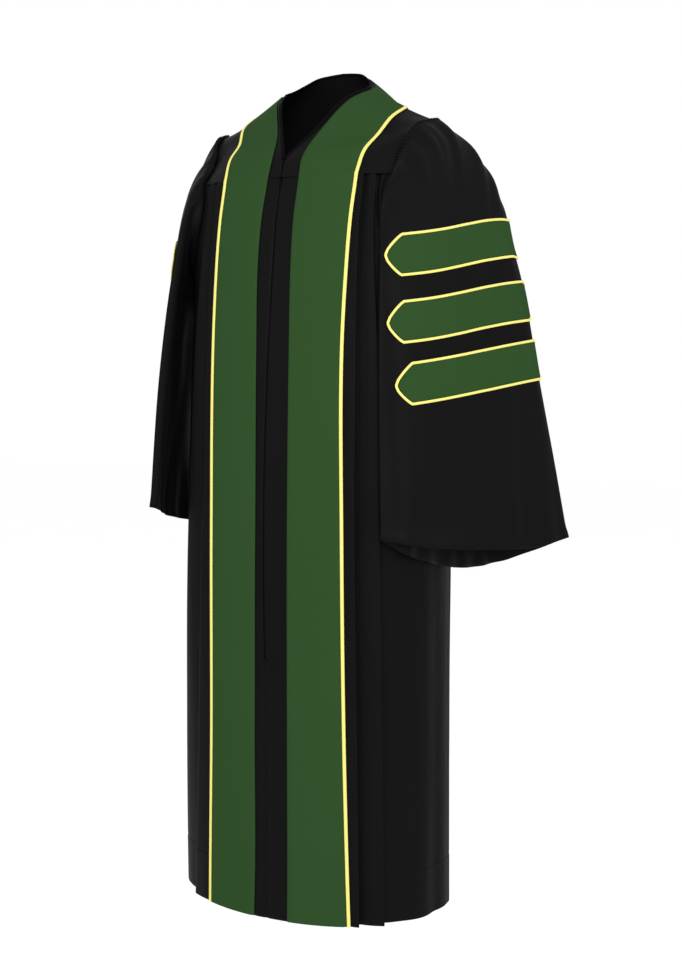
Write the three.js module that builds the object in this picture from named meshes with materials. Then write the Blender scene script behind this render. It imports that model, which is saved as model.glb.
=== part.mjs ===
// Doctoral graduation gown: a hollow, open-fronted robe with a shoulder yoke, knife-pleated fronts,
// a fluted back, gathered bell sleeves, green facing bands with cream piping and three bars a sleeve.
// Millimetres, +Z up, the front faces -Y, the wearer's left is +X.
// Heights in the tables are measured up from the hem; the frame's origin lies between the sides of the neck.
import * as THREE from 'three';

// Named sizes.
const NECK_SIDE_HEIGHT = 1331;
const WALL = 1.6;
const SEAM_GAP = 0.3;
const HALF_GAP = SEAM_GAP / 2;
const BAND_THICK = 1.8;
const PIPING_WIDE = 5.6;
const PIPING_THICK = 3.0;
const BINDING_WIDE = 6.0;
const BINDING_THICK = 3.6;
const ZIP_HALF_OPENING = 1.3;
const ZIP_TAPE_WIDE = 26;
const ZIP_TAPE_THICK = 1.2;
const ZIP_BOTTOM = 418;
const FRONT_SEAM_HEIGHT = 1175;
const BACK_SEAM_HEIGHT = 1195;
const UNDERARM_HEIGHT = 1003;
const SIDE_SEAM_Y = 12;
const SECTION_STEPS = 180;

// Body sections: half width, depth in front, depth behind, squareness in front and behind.
const BODY_COLUMNS = ['height', 'half', 'front', 'back', 'squareFront', 'squareBack'];
const BODY_ROWS = [
  [0, 229, 174, 160, 2.15, 2.1],
  [300, 227, 168, 157, 2.3, 2.15],
  [620, 224, 162, 153, 2.55, 2.2],
  [900, 214, 154, 150, 2.6, 2.3],
  [1040, 207, 145, 144, 2.6, 2.5],
  [1110, 203, 136, 139, 2.55, 2.7],
  [1175, 200, 119, 135, 2.6, 3.0],
  [1195, 199, 116, 133, 2.6, 3.1],
];

// Front: where the opening lies, the edges of the green band and the two knife pleats.
const FRONT_COLUMNS = [
  'height', 'opening', 'bandIn', 'bandOut', 'foldA', 'foldB', 'proud', 'recess', 'under',
];
const FRONT_ROWS = [
  [0, -7, 31, 127.5, 146, 186, 4.2, 9, 15],
  [80, -8, 31, 124.5, 145, 185, 4.1, 8.6, 15],
  [300, -11, 29, 118, 141, 181, 3.9, 7.6, 13],
  [620, -17, 27, 113, 136, 175, 3.5, 7, 11],
  [900, -12, 27, 109.5, 134, 168, 3.2, 6, 10],
  [1040, -7, 26, 113, 132, 158, 3.0, 5.5, 8],
  [1175, -6, 27, 117, 131, 150, 2.6, 4.6, 6],
];
// The right front's band lies a little further out, and its pleats spread apart towards the hem.
const RIGHT_COLUMNS = ['height', 'bandIn', 'bandOut', 'foldA', 'foldB'];
const RIGHT_ROWS = [
  [0, 30, 124, 172, 250],
  [80, 28.5, 122.5, 168, 242],
  [300, 30.5, 118, 156, 218],
  [620, 31, 115.5, 142, 188],
  [900, 32, 115, 134, 170],
  [1040, 33.5, 112, 132, 158],
  [1175, 29, 109, 130, 149],
];
const LEAST_LAYER = 2.7;
const FRONT_HEIGHTS = [0, 300, 620, 850, 1003, 1030, 1065, 1110, 1175];

// Armhole: how far back or forward its edge lies at each height.
const ARMHOLE_FRONT = [
  [1003, 12], [1030, -42], [1065, -77], [1110, -94], [1145, -91], [1175, -80], [1195, -70],
];
const ARMHOLE_BACK = [[1003, 12], [1030, 54], [1065, 82], [1105, 98], [1150, 107], [1195, 108]];

// Front yoke: inner edge, middle and outer edge of each row above the seam.
const YOKE_ROWS = [
  { inner: [0, -108, 1204], middle: [88, -93, 1210], outer: [166, -48, 1212], bandIn: 27, bandOut: 121 },
  { inner: [29, -73, 1250], middle: [103, -47, 1241], outer: [176, -22, 1247], bandIn: 9, bandOut: 98 },
  { inner: [57, -24, 1304], middle: [122, -13, 1275], outer: [184, 8, 1263], bandIn: 7, bandOut: 79 },
  { inner: [77, 30, 1331], middle: [134, 33, 1297], outer: [190, 38, 1271], bandIn: 7, bandOut: 68 },
];

// Back yoke: spokes from the neck edge to the armhole or to the back seam.
const SPOKES = [
  { neck: [77, 30, 1331], middle: [134, 33, 1297], end: [190, 38, 1271] },
  { neck: [71, 50, 1339], middle: [130, 70, 1291], end: [184, 80, 1241] },
  { neck: [60, 67, 1350], middle: [117, 95, 1286], end: [172, 108, 1195] },
  { neck: [42, 81, 1362], middle: [78, 113, 1290], end: [115, 131, 1195] },
  { neck: [21, 90, 1367], middle: [39, 119, 1288], end: [57, 133, 1195] },
  { neck: [0, 93, 1369], middle: [0, 121, 1287], end: [0, 133, 1195] },
];
const CORNER_SPOKE = 2;
const BACK_BAND_IN = 7;
const BACK_BAND_OUT = 68;
const SPOKES_PER_STEP = 2;

// Back: flutes that open out from the yoke to the hem.
const BACK_FLUTES = 12;
const POINTS_PER_FLUTE = 4;
const BACK_HEIGHTS = [0, 250, 560, 830, 1003, 1030, 1065, 1110, 1195];
const FLUTE_DEPTH = [[0, 9], [300, 7.5], [800, 5], [1195, 3]];

// Sleeve: points round each ring, from the crown forward, under the arm and back.
const SLEEVE_STATIONS = 8;
const LEFT_SLEEVE = [
  {
    at: 0.13,
    points: [
      [226, 40, 1242], [206, -46, 1203], [171, -121, 1136], [194, -88, 1036],
      [221, 14, 970], [238, 102, 1024], [265, 92, 1121], [261, 74, 1198],
    ],
  },
  {
    at: 0.34,
    points: [
      [264, -4, 1122], [221, -77, 1095], [168, -126, 1045], [199, -87, 977],
      [230, 15, 925], [264, 90, 960], [312, 79, 1045], [296, 38, 1100],
    ],
  },
  {
    at: 0.66,
    points: [
      [290, -20, 875], [232, -92, 865], [173, -140, 850], [208, -98, 800],
      [237, 12, 765], [278, 92, 785], [352, 93.5, 842], [329, 38, 866],
    ],
  },
  {
    at: 1,
    points: [
      [311, -32, 596], [243, -112, 603], [181, -151, 616], [214, -110, 588],
      [245, 8, 558], [290, 95, 561], [392, 120, 602], [357, 48, 592],
    ],
  },
];
// The right sleeve hangs a little higher and turned further back; its points are given mirrored.
const RIGHT_SLEEVE = [
  {
    at: 0.13,
    points: [
      [225, 46, 1237], [203, -42, 1203], [180, -114, 1136], [195, -88, 1038],
      [221, 14, 974], [232, 106, 1030], [246, 130, 1128], [240, 98, 1202],
    ],
  },
  {
    at: 0.34,
    points: [
      [261, 12, 1130], [229, -58, 1110], [198, -124, 1065], [204, -90, 987],
      [230, 15, 938], [258, 100, 972], [283, 124, 1055], [279, 72, 1110],
    ],
  },
  {
    at: 0.66,
    points: [
      [283, 10, 890], [251, -62, 884], [220, -142, 872], [214, -100, 822],
      [238, 14, 795], [264, 104, 815], [308, 138, 868], [306, 80, 882],
    ],
  },
  {
    at: 1,
    points: [
      [302, 2, 634], [266, -74, 641], [236, -152, 649], [227, -112, 632],
      [243, 10, 612], [274, 112, 612], [333, 160, 636], [332, 88, 632],
    ],
  },
];
// Rows of a sleeve: shares of the way down to the first bar, then a level pair and middle
// for each bar, then the cuff.
const HEAD_ROWS = [0, 0.034, 0.11, 0.24, 0.44, 0.7];
const UNDER_BAR_ROWS = [[0.3, 0.34, 0.38], [0.48, 0.52, 0.56], [0.64, 0.68, 0.72]];
const CUFF_ROWS = [0.5, 1];
const SEAM_DOWN = 0.012;
const SLEEVE_RISE = [[0, 3.2], [0.15, 3.2], [0.24, 2], [0.3, 2.2], [0.38, 3.4], [1, 3.4]];
const SLEEVE_GAP = 1.5;
const UPPER_COLUMNS = 28;
const LOWER_TURNS = [0.25, 0.262, 0.282, 0.31, 0.36, 0.43, 0.5, 0.57, 0.63, 0.69, 0.712, 0.734];
const FOLD_STATION = 2;
const FOLD_OPEN = 7.5;
const FOLD_EASE_ROWS = 3;
const FOLD_SHARES = [[0.25, 0.5], [0.262, 1], [0.29, 0.85], [0.34, 0.25], [0.38, 0], [0.5, 0]];
const PUFF_TURN = 0.215;
const PUFF_REACH = 0.06;
const PUFF_DEPTH = [[0, 0], [0.034, 0.8], [0.11, 3], [0.3, 4.5], [0.58, 3], [0.8, 1.2], [1, 0]];
const GATHERS = 7;
const GATHER_DEPTH = [[0, 0], [0.034, 0.8], [0.11, 2.4], [0.3, 3.2], [0.58, 2.2], [0.8, 0.9], [1, 0]];

// Bars: level lines across the leaning sleeve.
const BAR_LEVELS = [1044, 941, 845];
const BAR_LEAN = [-0.1, -0.12, 1];
const BAR_HALF_HIGH = 28.5;
const BAR_HALF_LONG = 137;
const BAR_POINT = 22;
const BAR_TIP_HALF = 0.8;
const BAR_TIP_STRETCH = 1.25;
const BAR_PIPING_GAP = 0.45;
const BAR_GAP = 0.8;
const BAR_PIPING_LIFT = 1.45;
const FOLD_TURN = 0.25;
const BACK_TURN = 0.31;
const UNDER_BLEND = 0.12;
const HALVINGS = 24;
const LEFT_BAR_CENTRES = [10.5, 12.5, 4];
const RIGHT_BAR_CENTRES = [-8, -12, -8];
const LEAST_STATION = 0.6;
const LEAST_TURN = 0.001;
const BAR_THICK = 1.6;
const BAR_PIPING_WIDE = 4.2;
const BAR_PIPING_THICK = 2.2;

// Colours.
const BLACK_CLOTH = new THREE.MeshStandardMaterial({ color: 0x161617, roughness: 0.62, metalness: 0 });
const GREEN_CLOTH = new THREE.MeshStandardMaterial({ color: 0x34572e, roughness: 0.85, metalness: 0 });
const CREAM_PIPING = new THREE.MeshStandardMaterial({ color: 0xfff38a, roughness: 0.6, metalness: 0 });
const BLACK_TAPE = new THREE.MeshStandardMaterial({ color: 0x0c0c0d, roughness: 0.7, metalness: 0 });

// Numbers along a table.
// A smooth curve through knots: cubic pieces whose slopes are the means of their neighbours' slopes.
function smooth(knots, values, at) {
  const last = knots.length - 1;
  const x = Math.min(Math.max(at, knots[0]), knots[last]);
  let i = 0;
  while (i < last - 1 && x > knots[i + 1]) i += 1;
  const step = knots[i + 1] - knots[i];
  const t = (x - knots[i]) / step;
  const rise = (k) => (values[k + 1] - values[k]) / (knots[k + 1] - knots[k]);
  const here = rise(i);
  const before = i > 0 ? (rise(i - 1) + here) / 2 : here;
  const after = i < last - 1 ? (rise(i + 1) + here) / 2 : here;
  const t2 = t * t;
  const t3 = t2 * t;
  return values[i] * (2 * t3 - 3 * t2 + 1) + values[i + 1] * (3 * t2 - 2 * t3)
    + before * step * (t3 - 2 * t2 + t) + after * step * (t3 - t2);
}

function column(names, rows, name) {
  const k = names.indexOf(name);
  return rows.map((row) => row[k]);
}

const bodyHeights = column(BODY_COLUMNS, BODY_ROWS, 'height');
const frontHeights = column(FRONT_COLUMNS, FRONT_ROWS, 'height');
const body = (name, height) => smooth(bodyHeights, column(BODY_COLUMNS, BODY_ROWS, name), height);
const front = (name, height) => smooth(frontHeights, column(FRONT_COLUMNS, FRONT_ROWS, name), height);
const right = (name, height) => smooth(frontHeights, column(RIGHT_COLUMNS, RIGHT_ROWS, name), height);
const pairs = (table, at) => smooth(table.map((row) => row[0]), table.map((row) => row[1]), at);
const clamp01 = (x) => Math.min(Math.max(x, 0), 1);
const ease = (x) => clamp01(x) * clamp01(x) * (3 - 2 * clamp01(x));

// The body's outline at a height, measured along the cloth from the centre front.
const outlines = new Map();
function outline(height) {
  if (outlines.has(height)) return outlines.get(height);
  const line = [];
  let along = 0;
  for (let i = 0; i <= SECTION_STEPS; i += 1) {
    const turn = (Math.PI * i) / SECTION_STEPS;
    const ahead = Math.cos(turn) > 0;
    const square = body(ahead ? 'squareFront' : 'squareBack', height);
    const x = body('half', height) * Math.sin(turn) ** (2 / square);
    const reach = Math.abs(Math.cos(turn)) ** (2 / square);
    const y = ahead ? -body('front', height) * reach : body('back', height) * reach;
    if (i > 0) along += Math.hypot(x - line[i - 1].x, y - line[i - 1].y);
    line.push({ x, y, along });
  }
  outlines.set(height, line);
  return line;
}

function onOutline(height, distance) {
  const line = outline(height);
  const want = Math.abs(distance);
  let i = 0;
  while (i < line.length - 2 && line[i + 1].along < want) i += 1;
  const a = line[i];
  const b = line[i + 1];
  const t = (want - a.along) / (b.along - a.along);
  const side = distance < 0 ? -1 : 1;
  const length = Math.hypot(b.x - a.x, b.y - a.y);
  return {
    x: side * (a.x + (b.x - a.x) * t),
    y: a.y + (b.y - a.y) * t,
    nx: (side * (b.y - a.y)) / length,
    ny: -(b.x - a.x) / length,
  };
}

// Distance along the outline at which its side reaches a given depth.
function distanceAtDepth(height, depth) {
  const line = outline(height);
  const half = Math.round(line.length / 4);
  let i = half;
  while (i < line.length - 2 && line[i + 1].y < depth) i += 1;
  const a = line[i];
  const b = line[i + 1];
  return a.along + ((depth - a.y) / (b.y - a.y)) * (b.along - a.along);
}

const backDistance = (height) => outline(height)[SECTION_STEPS].along;

// Walls.
const place = (x, y, height) => new THREE.Vector3(x, y, height - NECK_SIDE_HEIGHT);
const fromArray = (p) => place(p[0], p[1], p[2]);
const mix = (a, b, t) => a.clone().lerp(b, t);
const unit = (a, b) => b.clone().sub(a).normalize();

const LEAST_BEND = 0.5;

// Directions out of a sheet of points; at a sharp fold they are lengthened so that the wall keeps its width.
function facings(rows, closed) {
  const normals = [];
  for (let i = 0; i < rows.length; i += 1) {
    const line = [];
    const count = rows[i].length;
    for (let j = 0; j < count; j += 1) {
      const here = rows[i][j];
      const before = closed ? rows[i][(j - 1 + count) % count] : rows[i][Math.max(j - 1, 0)];
      const after = closed ? rows[i][(j + 1) % count] : rows[i][Math.min(j + 1, count - 1)];
      const back = unit(before, here);
      const ahead = unit(here, after);
      const across = back.clone().add(ahead).normalize();
      const bend = back.lengthSq() > 0 && ahead.lengthSq() > 0 ? clamp01((1 + back.dot(ahead)) / 2) : 1;
      const up = rows[Math.min(i + 1, rows.length - 1)][j].clone().sub(rows[Math.max(i - 1, 0)][j]);
      const out = across.clone().cross(up).normalize();
      line.push(out.multiplyScalar(1 / Math.sqrt(Math.max(bend, LEAST_BEND))));
    }
    normals.push(line);
  }
  return normals;
}

const moved = (rows, normals, by) =>
  rows.map((row, i) => row.map((p, j) => p.clone().addScaledVector(normals[i][j], by)));

// A closed skin between an outer and an inner sheet of points.
function skin(outer, inner, closed, crossed = false) {
  const rows = outer.length;
  const count = outer[0].length;
  const positions = [];
  [outer, inner].flat(2).forEach((p) => positions.push(p.x, p.y, p.z));
  const at = (sheet, i, j) => sheet * rows * count + i * count + (j % count);
  const faces = [];
  const quad = (a, b, c, d) => {
    if (crossed) faces.push(a, b, d, b, c, d);
    else faces.push(a, b, c, a, c, d);
  };
  const spans = closed ? count : count - 1;
  for (let i = 0; i < rows - 1; i += 1) {
    for (let j = 0; j < spans; j += 1) {
      quad(at(0, i, j), at(0, i, j + 1), at(0, i + 1, j + 1), at(0, i + 1, j));
      quad(at(1, i, j), at(1, i + 1, j), at(1, i + 1, j + 1), at(1, i, j + 1));
    }
  }
  for (let j = 0; j < spans; j += 1) {
    quad(at(0, 0, j), at(1, 0, j), at(1, 0, j + 1), at(0, 0, j + 1));
    quad(at(0, rows - 1, j), at(0, rows - 1, j + 1), at(1, rows - 1, j + 1), at(1, rows - 1, j));
  }
  if (!closed) {
    for (let i = 0; i < rows - 1; i += 1) {
      quad(at(0, i, 0), at(0, i + 1, 0), at(1, i + 1, 0), at(1, i, 0));
      quad(at(0, i, count - 1), at(1, i, count - 1), at(1, i + 1, count - 1), at(0, i + 1, count - 1));
    }
  }
  return finish(positions, faces);
}

// The faces are turned over where the solid would otherwise face inward.
function finish(positions, faces) {
  let volume = 0;
  const corner = (k) => new THREE.Vector3(positions[3 * k], positions[3 * k + 1], positions[3 * k + 2]);
  for (let i = 0; i < faces.length; i += 3) {
    volume += corner(faces[i]).dot(corner(faces[i + 1]).cross(corner(faces[i + 2])));
  }
  const ordered = [];
  for (let i = 0; i < faces.length; i += 3) {
    if (volume > 0) ordered.push(faces[i], faces[i + 1], faces[i + 2]);
    else ordered.push(faces[i], faces[i + 2], faces[i + 1]);
  }
  const geometry = new THREE.BufferGeometry();
  geometry.setAttribute('position', new THREE.Float32BufferAttribute(positions, 3));
  geometry.setIndex(ordered);
  return geometry;
}

const gown = new THREE.Group();
gown.name = 'graduation_gown';

function add(name, geometry, material) {
  geometry.computeVertexNormals();
  const mesh = new THREE.Mesh(geometry, material);
  mesh.name = name;
  gown.add(mesh);
  return mesh;
}

// Lays the directions of one row level, so that two pieces meet at a seam with flush edges.
function levelled(normals, row) {
  return normals.map((line, i) => (i === row ? line.map((n) => {
    const size = n.length();
    return new THREE.Vector3(n.x, n.y, 0).normalize().multiplyScalar(size);
  }) : line));
}

function addWall(name, rows, normals, thickness, material, options = {}) {
  const { closed = false, lift = 0, crossed = false } = options;
  const outer = moved(rows, normals, lift + thickness / 2);
  const inner = moved(rows, normals, lift - thickness / 2);
  add(name, skin(outer, inner, closed, crossed), material);
}

const flipped = (rows) => rows.map((row) => row.map((p) => new THREE.Vector3(-p.x, p.y, p.z)).reverse());

// Draws the border of a sheet in by a small distance along the sheet.
function drawIn(rows, { bottom = 0, top = 0, first = 0, last = 0 }) {
  const out = rows.map((row) => row.map((p) => p.clone()));
  const end = rows.length - 1;
  const width = rows[0].length - 1;
  rows[0].forEach((p, j) => out[0][j].addScaledVector(unit(p, rows[1][j]), bottom));
  rows[end].forEach((p, j) => out[end][j].addScaledVector(unit(p, rows[end - 1][j]), top));
  rows.forEach((row, i) => {
    out[i][0].addScaledVector(unit(row[0], row[1]), first);
    out[i][width].addScaledVector(unit(row[width], row[width - 1]), last);
  });
  return out;
}

// Front panels.
// A knife pleat: the cloth rises to the fold, turns back beneath itself and runs on deeper.
function knife(fold, proud, slope, under, deep) {
  const inside = proud - slope * under;
  const layer = Math.max(LEAST_LAYER, (inside - deep) / 2);
  return [
    [fold, proud],
    [fold, proud - layer],
    [fold - under, inside - layer],
    [fold - under, inside - 2 * layer],
  ];
}

// Columns of one row: distance along the outline and how far the cloth stands off it.
function frontColumns(height, side) {
  const opening = front('opening', height);
  const [bandIn, bandOut, foldA, foldB] = ['bandIn', 'bandOut', 'foldA', 'foldB'].map(
    (name) => (side > 0 ? front(name, height) : right(name, height)),
  );
  const proud = front('proud', height);
  const deep = -front('recess', height);
  const under = front('under', height);
  const rim = edgeDistance(height);
  const rest = rim - foldB;
  const start = bandOut + PIPING_WIDE + 1;
  const valley = foldA + 3;
  const crest = foldB - under - 3;
  const crestOff = deep + ((proud - deep) * (crest - valley)) / (foldB - valley) + 0.8;
  return {
    opening,
    columns: [
      [bandIn, 0],
      [bandIn + (bandOut - bandIn) / 3, 0],
      [bandIn + ((bandOut - bandIn) * 2) / 3, 0],
      [bandOut, 0],
      [start, 0.2],
      ...knife(foldA, proud, (proud - 0.2) / (foldA - start), under, deep),
      [valley, deep],
      [crest, crestOff],
      ...knife(foldB, proud, (proud - crestOff) / (foldB - crest), under, deep),
      [foldB + Math.min(5, rest * 0.3), deep],
      [foldB + rest * 0.55, deep * 0.3],
      [foldB + rest * 0.8, 0],
      [rim, 0],
    ],
  };
}

function edgeDistance(height) {
  const depth = height <= UNDERARM_HEIGHT ? SIDE_SEAM_Y : pairs(ARMHOLE_FRONT, height);
  return distanceAtDepth(height, depth);
}

function backEdgeDistance(height) {
  const depth = height <= UNDERARM_HEIGHT ? SIDE_SEAM_Y : pairs(ARMHOLE_BACK, height);
  return distanceAtDepth(height, depth);
}

function stand(height, distance, off) {
  const p = onOutline(height, distance);
  return place(p.x + p.nx * off, p.y + p.ny * off, height);
}

const openingGap = (height) => (height > ZIP_BOTTOM ? ZIP_HALF_OPENING : HALF_GAP);

// side is 1 for the wearer's left front and -1 for the right;
// the opening lies a little to the right of the middle.
function frontRows(side) {
  return FRONT_HEIGHTS.map((height) => {
    const { opening, columns } = frontColumns(height, side);
    const edge = side * opening + openingGap(height);
    const between = edge + (columns[0][0] - edge) * 0.5;
    return [[edge, 0], [between, 0], ...columns].map(([distance, off]) => stand(height, distance, off));
  });
}

const FIRST_BAND_COLUMN = 2;
const LAST_BAND_COLUMN = 5;

function buildFront(name, side) {
  const rows = drawIn(frontRows(side), { top: HALF_GAP, last: HALF_GAP });
  const normals = levelled(facings(rows, false), rows.length - 1);
  const sides = side > 0 ? [rows, normals] : [flipped(rows), flipped(normals)];
  addWall(name, sides[0], sides[1], WALL, BLACK_CLOTH);
  return { rows, normals };
}

const frontLeft = buildFront('front_left', 1);
const frontRight = buildFront('front_right', -1);

// Front yoke.
function threePoint(a, b, c, t) {
  const first = a.clone().multiplyScalar(2 * (t - 0.5) * (t - 1));
  const second = b.clone().multiplyScalar(-4 * t * (t - 1));
  const third = c.clone().multiplyScalar(2 * t * (t - 0.5));
  return first.add(second).add(third);
}

function smoothPoint(knots, points, at) {
  return new THREE.Vector3(
    smooth(knots, points.map((p) => p.x), at),
    smooth(knots, points.map((p) => p.y), at),
    smooth(knots, points.map((p) => p.z), at),
  );
}

const YOKE_STEPS = [0, 0.5, 1, 1.33, 1.67, 2, 2.5, 3, 3.5, 4];
const YOKE_TOP = YOKE_STEPS.length - 1;
const V_STEP = 1;
const V_DEPTH = -60;
const neckInset = BINDING_WIDE / 2 + SEAM_GAP;

// Distances across a row or down a spoke: its start, the band's four lines,
// the piping's far side and on to the end.
function crossStops(start, bandIn, bandOut, length) {
  const third = (bandOut - bandIn) / 3;
  const rest = length - bandOut;
  return [
    start, bandIn, bandIn + third, bandIn + third * 2, bandOut,
    bandOut + PIPING_WIDE + 1, bandOut + rest * 0.4, bandOut + rest * 0.7, length,
  ];
}

function rowLength(inner, middle, outer) {
  return inner.distanceTo(middle) + middle.distanceTo(outer);
}

function yokeRow(k, side) {
  const row = YOKE_ROWS[k - 1];
  const [inner, middle, outer] = [row.inner, row.middle, row.outer].map(fromArray);
  const length = rowLength(inner, middle, outer);
  const start = k === V_STEP ? side * front('opening', FRONT_SEAM_HEIGHT) + ZIP_HALF_OPENING : 0;
  const stops = crossStops(start, row.bandIn, row.bandOut, length);
  return stops.map((d) => threePoint(inner, middle, outer, d / length));
}

function seamRow(side) {
  const height = FRONT_SEAM_HEIGHT;
  const start = side * front('opening', height) + ZIP_HALF_OPENING;
  const { columns } = frontColumns(height, side);
  const stops = crossStops(start, columns[0][0], columns[3][0], edgeDistance(height));
  return stops.map((distance) => stand(height, distance, 0));
}

function yokeSheet(side) {
  const knots = [0, ...YOKE_ROWS.map((row, k) => k + 1)];
  const rows = knots.map((k) => (k === 0 ? seamRow(side) : yokeRow(k, side)));
  return YOKE_STEPS.map((step) => rows[0].map((unused, j) => {
    if (j === 0 && step < V_STEP) return mix(rows[0][0], rows[1][0], step);
    return smoothPoint(knots, rows.map((row) => row[j]), step);
  }));
}

function shapeYoke(side) {
  const plain = yokeSheet(side);
  const rows = drawIn(plain, { bottom: HALF_GAP, top: HALF_GAP, last: HALF_GAP });
  rows.forEach((row, i) => {
    const above = clamp01((YOKE_STEPS[i] - V_STEP + 0.02) / 0.02);
    row[0].addScaledVector(unit(plain[i][0], plain[i][1]), above * neckInset);
  });
  return { rows, normals: levelled(facings(rows, false), 0), plain };
}

const yokeLeft = shapeYoke(1);
const yokeRight = shapeYoke(-1);

// Back yoke.
const spokeKnots = SPOKES.map((spoke, k) => k);
const seamEnd = backEdgeDistance(BACK_SEAM_HEIGHT);

function spokeEnd(k) {
  if (k > CORNER_SPOKE) {
    const share = (k - CORNER_SPOKE) / (SPOKES.length - 1 - CORNER_SPOKE);
    return stand(BACK_SEAM_HEIGHT, seamEnd + (backDistance(BACK_SEAM_HEIGHT) - seamEnd) * share, 0);
  }
  const ends = SPOKES.slice(0, CORNER_SPOKE).map((spoke) => fromArray(spoke.end));
  ends.push(stand(BACK_SEAM_HEIGHT, seamEnd, 0));
  return smoothPoint([0, 1, 2], ends, k);
}

function spokePoint(k, distance) {
  const neck = smoothPoint(spokeKnots, SPOKES.map((spoke) => fromArray(spoke.neck)), k);
  const middle = smoothPoint(spokeKnots, SPOKES.map((spoke) => fromArray(spoke.middle)), k);
  const end = spokeEnd(k);
  const length = rowLength(neck, middle, end);
  return threePoint(neck, middle, end, distance / length);
}

function spokeLength(k) {
  const middle = smoothPoint(spokeKnots, SPOKES.map((spoke) => fromArray(spoke.middle)), k);
  return rowLength(spokePoint(k, 0), middle, spokeEnd(k));
}

const spokeSteps = [];
for (let k = 0; k <= (SPOKES.length - 1) * SPOKES_PER_STEP; k += 1) spokeSteps.push(k / SPOKES_PER_STEP);
const spokeStops = (k) => crossStops(0, BACK_BAND_IN, BACK_BAND_OUT, spokeLength(k));
// rows run from the outer edge in to the neck; columns from the left shoulder round the back to the right
const halfSpokes = spokeSteps.map((k) => spokeStops(k).map((distance) => spokePoint(k, distance)).reverse());
const mirrored = (spoke) => spoke.map((p) => new THREE.Vector3(-p.x, p.y, p.z));
const mirroredSpokes = halfSpokes.slice(0, -1).map(mirrored).reverse();
const allSpokes = halfSpokes.concat(mirroredSpokes);
const backYokePlain = allSpokes[0].map((unused, i) => allSpokes.map((spoke) => spoke[i]));
const backYokeRows = drawIn(backYokePlain, {
  bottom: HALF_GAP,
  top: neckInset,
  first: HALF_GAP,
  last: HALF_GAP,
});
const backYokeNormals = facings(backYokeRows, false);
const backTop = backYokeRows.length - 1;
const backEnd = backYokeRows[0].length - 1;

// Along the seam with the back panel the edge stands level;
// along the shoulders front and back share a direction.
for (let j = CORNER_SPOKE * SPOKES_PER_STEP; j <= backEnd - CORNER_SPOKE * SPOKES_PER_STEP; j += 1) {
  backYokeNormals[0][j].setZ(0).normalize();
}
[[yokeLeft, 0, 1], [yokeRight, backEnd, -1]].forEach(([yoke, edge, side]) => {
  yoke.normals[YOKE_TOP].forEach((n, c) => {
    const behind = backYokeNormals[backTop - c][edge];
    const shared = new THREE.Vector3(n.x + side * behind.x, n.y + behind.y, n.z + behind.z).normalize();
    n.copy(shared);
    behind.set(side * shared.x, shared.y, shared.z);
  });
});
addWall('yoke_front_left', yokeLeft.rows, yokeLeft.normals, WALL, BLACK_CLOTH);
addWall('yoke_front_right', flipped(yokeRight.rows), flipped(yokeRight.normals), WALL, BLACK_CLOTH);
addWall('yoke_back', backYokeRows, backYokeNormals, WALL, BLACK_CLOTH, { crossed: true });

// Back panel.
function backRows() {
  const columns = BACK_FLUTES * POINTS_PER_FLUTE;
  return BACK_HEIGHTS.map((height) => {
    const start = backEdgeDistance(height);
    const whole = backDistance(height);
    const depth = pairs(FLUTE_DEPTH, height);
    const line = [];
    for (let j = 0; j <= columns; j += 1) {
      const share = j / columns;
      const fold = Math.cos(Math.PI * 2 * BACK_FLUTES * share);
      const pair = Math.cos(Math.PI * BACK_FLUTES * share);
      const merge = 1 - ease(height / BACK_SEAM_HEIGHT);
      const fade = ease(share / 0.07) * ease((1 - share) / 0.07);
      const off = fade * depth * (fold * (1 - 0.45 * merge) + pair * 0.55 * merge - 0.4);
      const distance = start + (whole - start) * 2 * share;
      if (distance <= whole) line.push(stand(height, distance, off));
      else {
        const p = stand(height, 2 * whole - distance, off);
        line.push(new THREE.Vector3(-p.x, p.y, p.z));
      }
    }
    return line;
  });
}

const backSheet = drawIn(backRows(), { top: HALF_GAP, first: HALF_GAP, last: HALF_GAP });
const backNormals = levelled(facings(backSheet, false), backSheet.length - 1);
addWall('back', backSheet, backNormals, WALL, BLACK_CLOTH);

// Bands and their piping.
// A strip that climbs the front, crosses the shoulder and ends at the centre back;
// across runs from inner to outer.
function bandStrip(frontPiece, yokePiece) {
  const across = [0, 1, 2, 3];
  const points = [];
  const outward = [];
  frontPiece.rows.forEach((row, i) => {
    points.push(across.map((c) => row[FIRST_BAND_COLUMN + c]));
    outward.push(across.map((c) => frontPiece.normals[i][FIRST_BAND_COLUMN + c]));
  });
  yokePiece.rows.forEach((row, i) => {
    if (i === 0) return;
    points.push(across.map((c) => row[1 + c]));
    outward.push(across.map((c) => yokePiece.normals[i][1 + c]));
  });
  const lastRow = backYokeRows.length - 1;
  spokeSteps.forEach((k, j) => {
    if (j === 0) return;
    points.push(across.map((c) => backYokeRows[lastRow - 1 - c][j]));
    outward.push(across.map((c) => backYokeNormals[lastRow - 1 - c][j]));
  });
  return { points, outward };
}

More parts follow.
